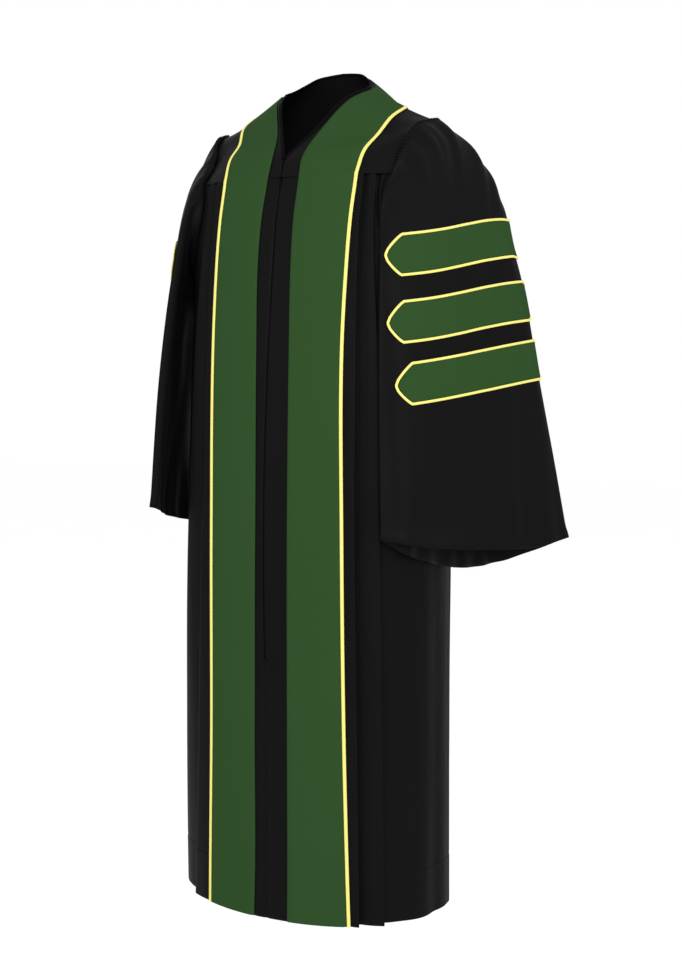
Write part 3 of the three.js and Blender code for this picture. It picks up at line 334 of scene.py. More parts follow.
def back_edge(heights):
    """Distance of the back's side edge: the side seam, and above the underarm the armhole."""
    heights = np.atleast_1d(np.asarray(heights, float))
    depth = np.where(heights <= UNDERARM, SIDE_Y, along_table(ARMHOLE_BACK, heights))
    return distance_at_depth(heights, depth)


def front_values(heights, side=1):
    """The front's table at each height, as a dictionary of columns."""
    names = ["opening", "band_in", "band_out", "fold_a", "fold_b", "proud", "recess", "under"]
    values = dict(zip(names, (weights(FRONT[:, 0], heights) @ FRONT[:, 1:]).T))
    if side < 0:
        for k, name in enumerate(["band_in", "band_out", "fold_a", "fold_b"]):
            values[name] = along_table(RIGHT_FRONT, heights, k + 1)
    return values


HEM_ROWS = np.array([0, 3, 10, 20, 30, 40, 50, 60, 70, 75, 77.5, 79, 80, 81, 82.5, 85], float)


def hem_relief(heights):
    """The turned-up hem: a little thicker below its stitching, which sinks into the cloth."""
    return 0.3 * ease((HEM_DEPTH - heights) / 2) - 0.4 * bump(heights, HEM_DEPTH, 3)


def knife(fold, proud, slope, under, deep):
    """A knife pleat: four corners where the cloth turns back under itself and runs on deeper."""
    inside = proud - slope * under
    layer = np.maximum(LEAST_LAYER, (inside - deep) / 2)
    return [
        (fold, proud), (fold, proud - layer),
        (fold - under, inside - layer), (fold - under, inside - 2 * layer),
    ]


def resample(knots, counts):
    """Points spread evenly inside each span of a row's knots, counts of them a span."""
    parts = []
    for k, count in enumerate(counts):
        share = np.linspace(0, 1, count, endpoint=False)
        a, b = knots[..., k, :], knots[..., k + 1, :]
        parts.append(a[:, None, :] + (b - a)[:, None, :] * share[None, :, None])
    parts.append(knots[..., -1:, :])
    return np.concatenate(parts, axis=1)


FRONT_SPANS = [3, 5, 5, 5, 5, 3, 8, 2, 4, 2, 3, 7, 5, 2, 5, 2, 4, 9, 8, 6]
FRONT_BAND = (8, 23, 26)


def front_sheet(side):
    """A front panel's points, and the places of the band on it: across, its columns run from
    the opening over the band and two knife pleats to the side seam; up, it climbs to the yoke."""
    heights = np.concatenate([HEM_ROWS, np.linspace(90, 960, 88), np.linspace(970, FRONT_SEAM, 34)])
    v = front_values(heights, side)
    rim = front_edge(heights)
    gap = np.where(heights > ZIP_FOOT, ZIP_HALF, SEAM_GAP / 2)
    edge = side * v["opening"] + gap
    deep = -v["recess"]
    rest = rim - v["fold_b"]
    start = v["band_out"] + PIPING_REACH
    valley, crest = v["fold_a"] + 3, v["fold_b"] - v["under"] - 3
    crest_off = deep + (v["proud"] - deep) * (crest - valley) / (v["fold_b"] - valley) + 0.8
    width = v["band_out"] - v["band_in"]
    corners = [
        (edge, 0), (edge + (v["band_in"] - edge) / 2, 0), (v["band_in"], 0),
        (v["band_in"] + width / 3, 0), (v["band_in"] + width * 2 / 3, 0), (v["band_out"], 0),
        (start, 0.2),
        *knife(v["fold_a"], v["proud"], (v["proud"] - 0.2) / (v["fold_a"] - start), v["under"], deep),
        (valley, deep), (crest, crest_off),
        *knife(v["fold_b"], v["proud"], (v["proud"] - crest_off) / (v["fold_b"] - crest), v["under"], deep),
        (v["fold_b"] + np.minimum(5, rest * 0.3), deep), (v["fold_b"] + rest * 0.55, deep * 0.3),
        (v["fold_b"] + rest * 0.8, 0 * rim), (rim, 0 * rim),
    ]
    knots = np.stack([
        np.stack([np.broadcast_to(d, heights.shape), np.broadcast_to(o, heights.shape)], axis=-1)
        for d, o in corners
    ], axis=1)
    grid = resample(knots, FRONT_SPANS)
    # soft hanging folds beside the side seam and along the band, deepest towards the hem
    share = heights[:, None] / FRONT_SEAM
    past = (grid[..., 0] - v["fold_b"][:, None]) / rest[:, None]
    hang = 1 - 0.75 * share
    drape = bump(past, 0.45 + 0.05 * np.sin(3 * share), 0.3) * 3.0 * hang
    drape -= bump(past, 0.72 - 0.04 * share, 0.2) * 2.6 * hang
    within = ease((past - 0.06) / 0.1) * ease((0.97 - past) / 0.08)
    grid[..., 1] += within * (drape + 1.2 * ramble(past * 5, share * 9, 11 + side))
    between = (grid[..., 0] - edge[:, None]) / width[:, None]
    grid[..., 1] += 0.5 * bump(between, 0.14, 0.16) * ramble(between * 6, share * 14, 3 + side)
    free = np.maximum(ease((v["band_in"][:, None] - grid[..., 0]) / 6),
                      ease((grid[..., 0] - start[:, None]) / 6))
    grid[..., 1] += hem_relief(heights)[:, None] * free
    # the yoke's seam sinks in outside the band, and the opening's edges roll inwards
    grid[..., 1] -= 1.1 * bump(heights, FRONT_SEAM, 6)[:, None] * free
    grid[..., 1] -= 1.1 * bump(grid[..., 0], edge[:, None], 5)
    points = on_body(heights, grid[..., 0], grid[..., 1])
    return heights, points, v, edge


def cross_stops(start, band_in, band_out, length):
    """Where a row is cut: its start, the band's four lines, past the piping and on to the end."""
    third, rest = (band_out - band_in) / 3, length - band_out
    return np.array([
        start, band_in, band_in + third, band_in + third * 2, band_out,
        band_out + PIPING_REACH, band_out + rest * 0.4, band_out + rest * 0.7, length,
    ])


def fine_stops(stops, spans):
    """Each span between two stops cut into even steps."""
    return resample(stops[..., None][None] if stops.ndim == 1 else stops[..., None], spans)[..., 0]


def three_points(a, b, c, t):
    """The parabola that passes a, b and c at 0, one half and 1."""
    return a * 2 * (t - 0.5) * (t - 1) - b * 4 * t * (t - 1) + c * 2 * t * (t - 0.5)


YOKE_SPANS = [5, 5, 5, 5, 3, 6, 6, 7]
YOKE_BAND = (5, 20, 23)
YOKE_LINES = 45
V_STEP = 1.0
INSET = 3.3


def yoke_knots(side):
    """The front yoke's knot rows: the seam row lies on the body, and each row above it is a
    parabola through its inner, middle and outer point, read at fine stops."""
    v = front_values(np.array([FRONT_SEAM]), side)
    opening = side * v["opening"][0] + ZIP_HALF
    stops = cross_stops(opening, v["band_in"][0], v["band_out"][0], front_edge(FRONT_SEAM)[0])
    rows = [on_body([FRONT_SEAM], fine_stops(stops, YOKE_SPANS))[0]]
    for k in range(4):
        a, b, c = YOKE_POINTS[k] - np.array([0, 0, NECK_HEIGHT])
        length = np.linalg.norm(b - a) + np.linalg.norm(c - b)
        stops = cross_stops(opening if k == 0 else 0.0, *YOKE_BANDS[k], length)
        t = fine_stops(stops, YOKE_SPANS)[0][:, None] / length
        rows.append(three_points(a, b, c, t))
    return np.array(rows)


def yoke_sheet(side):
    """A front yoke's points: smooth curves through the knot rows, from the seam to the
    shoulder. Above the point of the V its neck edge draws in under the binding."""
    rows = yoke_knots(side)
    steps = np.linspace(0, 4, YOKE_LINES)
    grid = np.einsum("sk,kjc->sjc", weights(np.arange(5), steps), rows)
    low = steps < V_STEP
    grid[low, 0] = rows[0, 0] + (rows[1, 0] - rows[0, 0]) * steps[low, None]
    edge = grid[:, 0].copy()
    pull = ease((steps - V_STEP + 0.05) / 0.05)[:, None] * INSET * np.linspace(1, 0, 6)[None, :]
    grid[:, :6] += unit(grid[:, 5] - grid[:, 0])[:, None] * pull[..., None]
    return steps, grid, edge


def back_yoke_sheet():
    """The back yoke's points: spokes from the left shoulder round to the right, each a
    parabola from the neck to the armhole or the seam. Rows run from the outer edge in."""
    half = np.linspace(0, 5, 51)
    w = weights(np.arange(6), half)
    base = SPOKES - np.array([0, 0, NECK_HEIGHT])
    neck, middle = w @ base[:, 0], w @ base[:, 1]
    start, whole = back_edge(BACK_SEAM)[0], whole_back(BACK_SEAM)[0]
    share = np.clip((half - CORNER) / (5 - CORNER), 0, 1)
    seam = on_body([BACK_SEAM], (start + (whole - start) * share)[None])[0]
    corner = np.array([base[0, 2], base[1, 2], seam[half >= CORNER][0]])
    arm = weights(np.arange(3), np.minimum(half, CORNER)) @ corner
    end = np.where((half > CORNER)[:, None], seam, arm)
    length = np.linalg.norm(middle - neck, axis=1) + np.linalg.norm(end - middle, axis=1)
    stops = np.stack([cross_stops(0, *BACK_BAND, size) for size in length])
    t = (fine_stops(stops, BACK_SPANS) / length[:, None])[..., None]
    spokes = three_points(neck[:, None], middle[:, None], end[:, None], t)
    edge = spokes[:, 0].copy()
    pull = (INSET * np.linspace(1, 0, 5))[None, :, None]
    spokes[:, :5] += unit(spokes[:, 4] - spokes[:, 0])[:, None] * pull
    both = np.concatenate([spokes, (spokes * MIRROR)[-2::-1]])
    edges = np.concatenate([edge, (edge * MIRROR)[-2::-1]])
    return half, np.swapaxes(both, 0, 1)[::-1], edges


BACK_SPANS = [4, 5, 5, 5, 3, 5, 5, 5]


def back_sheet():
    """The back panel's points: columns run from the left side seam round to the right, rows
    climb to the yoke. Flutes are cosines round the back that merge in pairs towards the hem."""
    heights = np.concatenate([HEM_ROWS, np.linspace(90, 960, 76), np.linspace(970, BACK_SEAM, 36)])
    share = np.linspace(0, 1, 361)[None, :]
    start, whole = back_edge(heights)[:, None], whole_back(heights)[:, None]
    depth = along_table(FLUTE_DEPTH, heights)[:, None]
    merge = 1 - ease(heights[:, None] / BACK_SEAM)
    wander = share + 0.0035 * ramble(share * 9, heights[:, None] / 260, 21)
    fold = np.cos(math.tau * FLUTES * wander)
    pair = np.cos(math.pi * FLUTES * wander)
    fade = ease(share / 0.07) * ease((1 - share) / 0.07)
    off = fade * depth * (fold * (1 - 0.45 * merge) + pair * 0.55 * merge - 0.4)
    # small pleats at the yoke seam that open into the flutes below it
    near = ease((heights[:, None] - 1085) / 100)
    off += fade * near * 1.1 * np.cos(math.tau * FLUTES * 4 * wander) * (0.7 + 0.3 * np.sin(19 * share))
    off += fade * 1.1 * ramble(share * 24, heights[:, None] / 170, 5) * (1 - 0.6 * near)
    off += hem_relief(heights)[:, None]
    distance = start + (whole - start) * 2 * share
    folded = np.where(distance <= whole, distance, 2 * whole - distance)
    points = on_body(heights, folded, off)
    mirror = np.where(distance <= whole, 1.0, -1.0)
    points[..., 0] *= mirror
    return heights, points


# The armhole and the sleeves.
def armhole_loop():
    """The armhole's points and outward directions, closed: from the shoulder down the front,
    under the arm and up the back, read off the edges of the panels around it."""
    _, yoke, _ = yoke_sheet(1)
    heights, front = front_sheet(1)[:2]
    back_heights, back = back_sheet()
    half, yoke_back, _ = back_yoke_sheet()
    front_up = heights >= UNDERARM
    back_up = back_heights > UNDERARM
    keep = np.nonzero((half > 0) & (half < CORNER))[0][::-1]
    parts = [
        (yoke[::-1, -1], facing(yoke)[::-1, -1]),
        (front[front_up, -1][::-1], facing(front)[front_up, -1][::-1]),
        (back[back_up, 0], facing(back)[back_up, 0]),
        (yoke_back[0, keep], facing(yoke_back)[0, keep]),
    ]
    points = np.concatenate([p for p, n in parts] + [parts[0][0][:1]])
    outward = np.concatenate([n for p, n in parts] + [parts[0][1][:1]])
    along = np.concatenate([[0], np.cumsum(np.linalg.norm(np.diff(points, axis=0), axis=1))])
    return points, outward, along


def read_loop(loop, distance):
    """Points and directions at distances round the armhole."""
    points, outward, along = loop
    d = np.mod(distance, along[-1])
    p = np.stack([np.interp(d, along, points[:, c]) for c in range(3)], axis=-1)
    n = np.stack([np.interp(d, along, outward[:, c]) for c in range(3)], axis=-1)
    return p, unit(n)


def loop_marks(loop):
    """Distances of the eight stations round the armhole."""
    places = np.linspace(0, loop[2][-1], 1441)
    p, _ = read_loop(loop, places)
    targets = ARMHOLE_MARKS - np.array([0, 0, NECK_HEIGHT])
    gaps = np.linalg.norm(p[None] - targets[:, None], axis=-1)
    return np.concatenate([[0], places[np.argmin(gaps, axis=1)], [loop[2][-1]]])


def around(ring, turn):
    """A closed curve through a ring's eight points: cubic pieces whose slopes follow their
    neighbours, save at the front fold, where the curve turns sharply."""
    scaled = turn * 8
    i = np.floor(scaled).astype(int) % 8
    t = (scaled - np.floor(scaled))[..., None]
    b, c = ring[i], ring[(i + 1) % 8]
    a = np.where((i == 2)[..., None], 2 * b - c, ring[(i - 1) % 8])
    d = np.where((i + 1 == 2)[..., None], 2 * c - b, ring[(i + 2) % 8])
    bend = (2 * a - 5 * b + 4 * c - d) * t * t + (3 * b - a - 3 * c + d) * t * t * t
    return 0.5 * (2 * b + (c - a) * t + bend)


def signed(turn):
    """Turns past the half counted back from the crown."""
    return np.where(turn > 0.5, turn - 1, turn)


class Sleeve:
    """One sleeve's surface as a function of the turn round it and the share of the way down."""

    def __init__(self, loop, rings):
        self.loop = loop
        self.marks = loop_marks(loop)
        self.rings = rings - np.array([0, 0, NECK_HEIGHT])
        self.turns = np.linspace(0, 1, 721)
        self.first = self.head_end(self.turns)

    def base(self, turn, down):
        """The plain sleeve: a curve from the armhole seam out through the four rings."""
        turn = np.mod(turn, 1.0)
        distance = weights(np.arange(9), turn * 8) @ self.marks
        p, n = read_loop(self.loop, distance)
        rise = along_table(SLEEVE_RISE, turn)[..., None]
        edge = p + n * (0.8 + SLEEVE_GAP)
        points = [edge, edge + n * rise] + [around(ring, turn) for ring in self.rings]
        w = weights([0, SEAM_DOWN] + RING_DOWNS, down)
        return sum(w[..., k, None] * q for k, q in enumerate(points))

    def level_down(self, turn, level):
        """The share of the way down at which a line on the sleeve crosses a bar's level."""
        downs = np.linspace(SEAM_DOWN * 2, 1, 500)
        measure = self.base(turn[:, None], downs[None, :]) @ BAR_LEAN + NECK_HEIGHT
        k = np.clip(np.sum(measure > level, axis=1), 1, len(downs) - 1)
        rows = np.arange(len(turn))
        a, b = measure[rows, k - 1], measure[rows, k]
        return downs[k - 1] + (downs[k] - downs[k - 1]) * (a - level) / (a - b)

    def speed(self, turn, down):
        """Millimetres along the cloth for a whole way down, at a place."""
        gap = np.linalg.norm(self.base(turn, down + 0.004) - self.base(turn, down - 0.004), axis=-1)
        return gap / 0.008

    def head_end(self, turn):
        """Where the sleeve's head ends: just above the first bar, or a set share under the arm."""
        side = signed(turn)
        most = np.where(side < 0, 0.31, FOLD_TURN)
        reach = np.minimum(np.abs(side), most)
        at = np.where(side < 0, 1 - reach, reach)
        down = self.level_down(at, BAR_LEVELS[0])
        down = down - BAR_HALF_HIGH / self.speed(at, down)
        under = ease((np.abs(side) - most) / 0.12)
        return down + (0.3 - down) * under

    def outward(self, surface, turn, down):
        """Directions out of a surface, from small steps of turn and down."""
        dt, dd = 0.0015, 0.003
        across = surface(turn + dt, down) - surface(turn - dt, down)
        low, high = np.clip(down - dd, 0, 1), np.clip(down + dd, 0, 1)
        along = surface(turn, high) - surface(turn, low)
        return unit(np.cross(across, along))

    def held(self, turn, down):
        """The sleeve with its front fold held open by a few millimetres."""
        wrapped = np.mod(turn, 1.0)
        share = np.clip(down / np.interp(wrapped, self.turns, self.first), 0, 1)
        open_by = np.where((wrapped >= FOLD_TURN) & (wrapped <= 0.5), along_table(FOLD_SHARES, wrapped), 0)
        inward = -self.outward(self.base, np.full(np.shape(down), 0.2143), down)
        push = FOLD_OPEN * along_table(FOLD_ROWS, share) * open_by
        return self.base(turn, down) + inward * push[..., None]

    def detail(self, turn, down):
        """How far the cloth stands off the plain sleeve: gathers of uneven depth at the head,
        fine ribs drawn up along the seam, long soft folds down the body, a shallow dent above the
        cuff and a rolled lip at it."""
        wrapped = np.mod(turn, 1.0)
        side = signed(wrapped)
        share = np.clip(down / np.interp(wrapped, self.turns, self.first), 0, 1)
        window = ease((0.215 - np.abs(side)) / 0.05)
        wave = np.cos(math.tau * GATHERS * 2 * side + 0.5 * np.sin(9 * side) - 0.9 * bump(side, 0, 0.06))
        uneven = 0.62 + 0.38 * ramble(side * 17, 0 * side, 41, waves=3)
        uneven = uneven * (1 - 0.6 * bump(side, -0.03, 0.1))
        puff = bump(wrapped, 0.215, 0.06)
        off = along_table(GATHER, share) * window * wave * uneven + along_table(PUFF, share) * puff
        off -= 2.6 * bump(side, 0, 0.07) * ease(share / 0.02) * ease((0.5 - share) / 0.4)
        ribs = np.cos(math.tau * 96 * side) * ease((0.24 - np.abs(side)) / 0.04)
        off += 1.7 * ribs * ease(down / 0.005) * ease((0.052 - down) / 0.03)
        short = window * bump(share, 0.2, 0.42) * ease((side - 0.03) / 0.05)
        off += 5.0 * short * ramble(side * 84, down * 9, 45)
        body = ease((down - 0.1) / 0.25)
        off += body * 1.5 * ramble(side * 21, down * 5, 31)
        off += body * 0.9 * ramble(side * 46, down * 8, 33) * ease((1.02 - down) / 0.2)
        off += 4.5 * ease((down - 0.72) / 0.28) * ramble(side * 34, down * 2, 35, waves=5)
        off -= 5.0 * bump(side, 0.1, 0.08) * bump(down, 0.95, 0.055)
        off += 2.4 * bump(down, 1.0, 0.03)
        return off * ease((np.abs(wrapped - 0.2655) - 0.004) / 0.03)

    def surface(self, turn, down):
        """The finished sleeve's middle surface."""
        plain = self.held(turn, down)
        out = self.outward(self.held, turn, down)
        return plain + out * self.detail(turn, down)[..., None]


def sleeve_grid(sleeve):
    """A sleeve's grid: close rows at the seam for its ribs, even rows below, closed round."""
    head = np.linspace(0, 0.06, 14)
    downs = np.concatenate([head, np.linspace(0.072, 1, 84)])
    upper = np.linspace(0, 0.245, 118, endpoint=False)
    fold = np.array([0.245, 0.2475, 0.25, 0.254, 0.258, 0.262, 0.268, 0.275, 0.283, 0.292])
    lower = np.linspace(0.302, 0.75, 62, endpoint=False)
    back = np.linspace(0.75, 1, 118, endpoint=False)
    turns = np.concatenate([upper, fold, lower, back])
    return sleeve.surface(turns[None, :], downs[:, None] + 0 * turns[None, :])


# Meshes.
def quads(rows, count, closed, first=0):
    """Corner numbers of a grid's four-sided faces, rows by count points, as one array."""
    span = count if closed else count - 1
    i, j = np.meshgrid(np.arange(rows - 1), np.arange(span), indexing="ij")
    k = (j + 1) % count
    low, high = i * count, (i + 1) * count
    return first + np.stack([low + j, low + k, high + k, high + j], -1).reshape(-1, 4)


def new_piece(name, points, faces, uv, material, tips=()):
    """Makes an object of points in millimetres and four-sided faces; tips are whole end faces."""
    mesh = bpy.data.meshes.new(name)
    mesh.vertices.add(len(points))
    mesh.vertices.foreach_set("co", (np.asarray(points) / 1000).astype(np.float32).ravel())
    corners = np.concatenate([faces.ravel()] + [np.asarray(tip) for tip in tips]).astype(np.int32)
    sizes = np.concatenate([np.full(len(faces), 4)] + [[len(tip)] for tip in tips]).astype(np.int32)
    starts = np.concatenate([[0], np.cumsum(sizes)[:-1]]).astype(np.int32)
    mesh.loops.add(len(corners))
    mesh.polygons.add(len(sizes))
    mesh.loops.foreach_set("vertex_index", corners)
    mesh.polygons.foreach_set("loop_start", starts)
    mesh.update(calc_edges=True)
    layer = mesh.uv_layers.new(name="Cloth")
    layer.data.foreach_set("uv", (np.asarray(uv)[corners] / 1000).astype(np.float32).ravel())
    mesh.validate()
    mesh.polygons.foreach_set("use_smooth", np.ones(len(mesh.polygons), bool))
    mesh.materials.append(material)
    piece = bpy.data.objects.new(name, mesh)
    bpy.context.scene.collection.objects.link(piece)
    return piece


def cloth_lengths(points):
    """Two lengths for every point of a grid: across from its first column, and up from its
    first row, each measured along the cloth."""
    across = np.linalg.norm(np.diff(points, axis=1), axis=-1).mean(0)
    up = np.linalg.norm(np.diff(points, axis=0), axis=-1).mean(1)
    u = np.concatenate([[0], np.cumsum(across)])
    v = np.concatenate([[0], np.cumsum(up)])
    return np.stack(np.broadcast_arrays(u[None, :], v[:, None]), axis=-1)


def wall(name, points, out, thickness, material, lift=0.0, closed=False, soft=0.45):
    """A cloth wall: an outer and an inner sheet to both sides of the middle one, joined by a
    rolled rim, whose middle line stands a little past the edge."""
    rows, count = points.shape[:2]
    outer = points + out * (lift + thickness / 2)
    inner = points + out * (lift - thickness / 2)
    middle = points + out * lift
    lengths = cloth_lengths(points)
    each = rows * count
    outer_faces = quads(rows, count, closed)
    inner_faces = quads(rows, count, closed, each)[:, ::-1]
    index = np.arange(each).reshape(rows, count)
    if closed:
        loops = [(index[0], -1), (index[-1], 1)]
        beyond = [middle[0] - middle[1], middle[-1] - middle[-2]]
    else:
        loop = np.concatenate([index[0, :-1], index[:-1, -1], index[-1, :0:-1], index[:0:-1, 0]])
        inside = np.concatenate([index[1, :-1], index[:-1, -2], index[-2, :0:-1], index[:0:-1, 1]])
        flat = middle.reshape(-1, 3)
        loops = [(loop, -1)]
        beyond = [flat[loop] - flat[inside]]
    points_all = [outer.reshape(-1, 3), inner.reshape(-1, 3)]
    uv_all = [lengths.reshape(-1, 2)] * 2
    faces = [outer_faces, inner_faces]
    first = 2 * each
    for (loop, turn), push in zip(loops, beyond):
        rim = middle.reshape(-1, 3)[loop] + unit(push) * thickness * soft
        size = len(loop)
        a, b = np.arange(size), (np.arange(size) + 1) % size
        upper = np.stack([loop[a], first + a, first + b, loop[b]], -1)
        lower = np.stack([first + a, each + loop[a], each + loop[b], first + b], -1)
        pair = np.concatenate([upper, lower])
        faces.append(pair if turn < 0 else pair[:, ::-1])
        points_all.append(rim)
        uv_all.append(lengths.reshape(-1, 2)[loop])
        first += size
    joined = [np.concatenate(part) for part in (points_all, faces, uv_all)]
    return new_piece(name, *joined, material)


def sweep(name, path, out, width, height, material, closed=False, sides=12, square=2.6):
    """A cord or folded tape: a superellipse profile, width by height, carried along a path.
    At a bend it is mitred: stretched across by one over the cosine of half the bend."""
    if closed:
        before, after = np.roll(path, 1, axis=0), np.roll(path, -1, axis=0)
    else:
        before = np.concatenate([path[:1] * 2 - path[1:2], path[:-1]])
        after = np.concatenate([path[1:], path[-1:] * 2 - path[-2:-1]])
    back, ahead = unit(path - before), unit(after - path)
    tangent = unit(back + ahead)
    out = unit(out)
    across = unit(np.cross(tangent, out))
    half_bend = np.sqrt(np.clip((1 + np.sum(back * ahead, axis=1)) / 2, 0.4, 1))[:, None]
    turn = np.linspace(0, math.tau, sides, endpoint=False)
    cx = np.sign(np.cos(turn)) * np.abs(np.cos(turn)) ** (2 / square) * width / 2
    cy = np.sign(np.sin(turn)) * np.abs(np.sin(turn)) ** (2 / square) * height / 2
    points = (path[:, None] + (across / half_bend)[:, None] * cx[None, :, None]
              + out[:, None] * cy[None, :, None])
    count = len(path)
    ring = quads(count, sides, True)
    if closed:
        j = np.arange(sides)
        k = (j + 1) % sides
        last = (count - 1) * sides
        ring = np.concatenate([ring, np.stack([last + j, last + k, k, j], -1)])
    steps = np.linalg.norm(np.diff(path, axis=0), axis=1)
    v = np.concatenate([[0], np.cumsum(steps)])
    uv = np.stack(np.broadcast_arrays(turn[None, :] * height / 2, v[:, None]), axis=-1).reshape(-1, 2)
    tips = () if closed else (np.arange(sides), (count - 1) * sides + np.arange(sides)[::-1])
    return new_piece(name, points.reshape(-1, 3), ring[:, ::-1], uv, material, [t[::-1] for t in tips])


# Materials.
def socket_group(name, inputs, outputs):
    """An empty shader node group with named sockets: (name, kind, default) for each input."""
    group = bpy.data.node_groups.new(name, "ShaderNodeTree")
    for title, kind, default in inputs:
        made = group.interface.new_socket(title, in_out="INPUT", socket_type=kind)
        if default is not None:
            made.default_value = default
    for title, kind in outputs:
        group.interface.new_socket(title, in_out="OUTPUT", socket_type=kind)
    return group, group.nodes.new("NodeGroupInput"), group.nodes.new("NodeGroupOutput")


def maths(tree, operation, a, b=None, c=None):
    """A Math node on two or three values or sockets; gives its output socket."""
    node = tree.nodes.new("ShaderNodeMath")
    node.operation = operation
    for k, value in enumerate((a, b, c)):
        if value is None:
            continue
        if isinstance(value, (int, float)):
            node.inputs[k].default_value = value
        else:
            tree.links.new(value, node.inputs[k])
    return node.outputs[0]


def weave_group():
    """Threads: two sets of fine ridges that cross, with a slow uneven slub along the warp."""
    group, start, end = socket_group(
        "Thread Weave",
        [("Vector", "NodeSocketVector", None), ("Threads", "NodeSocketFloat", 1400.0),
         ("Slant", "NodeSocketFloat", 0.5), ("Slub", "NodeSocketFloat", 0.4)],
        [("Height", "NodeSocketFloat"), ("Slub", "NodeSocketFloat")],
    )
    split = group.nodes.new("ShaderNodeSeparateXYZ")
    group.links.new(start.outputs["Vector"], split.inputs[0])
    warp = maths(group, "MULTIPLY", split.outputs[0], start.outputs["Threads"])
    weft = maths(group, "MULTIPLY", split.outputs[1], start.outputs["Threads"])
    slanted = maths(group, "MULTIPLY_ADD", weft, start.outputs["Slant"], warp)
    ridge = maths(group, "SINE", slanted)
    cross = maths(group, "SINE", weft)
    both = maths(group, "MULTIPLY_ADD", cross, 0.35, ridge)
    stretch = group.nodes.new("ShaderNodeMapping")
    stretch.inputs["Scale"].default_value = (260, 9, 1)
    group.links.new(start.outputs["Vector"], stretch.inputs["Vector"])
    slub = group.nodes.new("ShaderNodeTexNoise")
    slub.inputs["Scale"].default_value = 1.0
    slub.inputs["Detail"].default_value = 3.0
    group.links.new(stretch.outputs[0], slub.inputs["Vector"])
    centred = maths(group, "SUBTRACT", slub.outputs["Fac"], 0.5)
    shaped = maths(group, "MULTIPLY", centred, start.outputs["Slub"])
    group.links.new(maths(group, "ADD", maths(group, "MULTIPLY", both, 0.25), shaped), end.inputs["Height"])
    group.links.new(shaped, end.inputs["Slub"])
    return group


def tone_group():
    """A colour that drifts between two near shades: broad soft clouds and fine specks."""
    group, start, end = socket_group(
        "Cloth Tone",
        [("Vector", "NodeSocketVector", None), ("Shade", "NodeSocketColor", (0.5, 0.5, 0.5, 1)),
         ("Light", "NodeSocketColor", (0.6, 0.6, 0.6, 1)), ("Clouds", "NodeSocketFloat", 4.0),
         ("Specks", "NodeSocketFloat", 900.0)],
        [("Color", "NodeSocketColor"), ("Mask", "NodeSocketFloat")],
    )
    clouds = group.nodes.new("ShaderNodeTexNoise")
    clouds.inputs["Detail"].default_value = 4.0
    specks = group.nodes.new("ShaderNodeTexNoise")
    specks.inputs["Detail"].default_value = 2.0
    for node, title in ((clouds, "Clouds"), (specks, "Specks")):
        group.links.new(start.outputs["Vector"], node.inputs["Vector"])
        group.links.new(start.outputs[title], node.inputs["Scale"])
    drift = maths(group, "MULTIPLY", clouds.outputs["Fac"], 0.55)
    mixed = maths(group, "MULTIPLY_ADD", specks.outputs["Fac"], 0.45, drift)
    shade = group.nodes.new("ShaderNodeMix")
    shade.data_type = "RGBA"
    colours = [s for s in shade.inputs if s.type == "RGBA"]
    group.links.new(mixed, shade.inputs[0])
    group.links.new(start.outputs["Shade"], colours[0])
    group.links.new(start.outputs["Light"], colours[1])
    group.links.new([s for s in shade.outputs if s.type == "RGBA"][0], end.inputs["Color"])
    group.links.new(mixed, end.inputs["Mask"])
    return group


def crumple_group():
    """The slight unevenness that a sewn cloth keeps: a stretched noise, longer down than across."""
    group, start, end = socket_group(
        "Soft Crumple",
        [("Vector", "NodeSocketVector", None), ("Across", "NodeSocketFloat", 30.0),
         ("Down", "NodeSocketFloat", 7.0)],
        [("Height", "NodeSocketFloat")],
    )
    scale = group.nodes.new("ShaderNodeCombineXYZ")
    group.links.new(start.outputs["Across"], scale.inputs[0])
    group.links.new(start.outputs["Across"], scale.inputs[1])
    group.links.new(start.outputs["Down"], scale.inputs[2])
    product = group.nodes.new("ShaderNodeVectorMath")
    product.operation = "MULTIPLY"
    group.links.new(start.outputs["Vector"], product.inputs[0])
    group.links.new(scale.outputs[0], product.inputs[1])
    noise = group.nodes.new("ShaderNodeTexNoise")
    noise.inputs["Scale"].default_value = 1.0
    noise.inputs["Detail"].default_value = 3.5
    noise.inputs["Roughness"].default_value = 0.45
    group.links.new(product.outputs[0], noise.inputs["Vector"])
    group.links.new(noise.outputs["Fac"], end.inputs["Height"])
    return group


def shared_groups():
    """The node groups, made once."""
    makers = {"Thread Weave": weave_group, "Cloth Tone": tone_group, "Soft Crumple": crumple_group}
    return {name: bpy.data.node_groups.get(name) or make() for name, make in makers.items()}


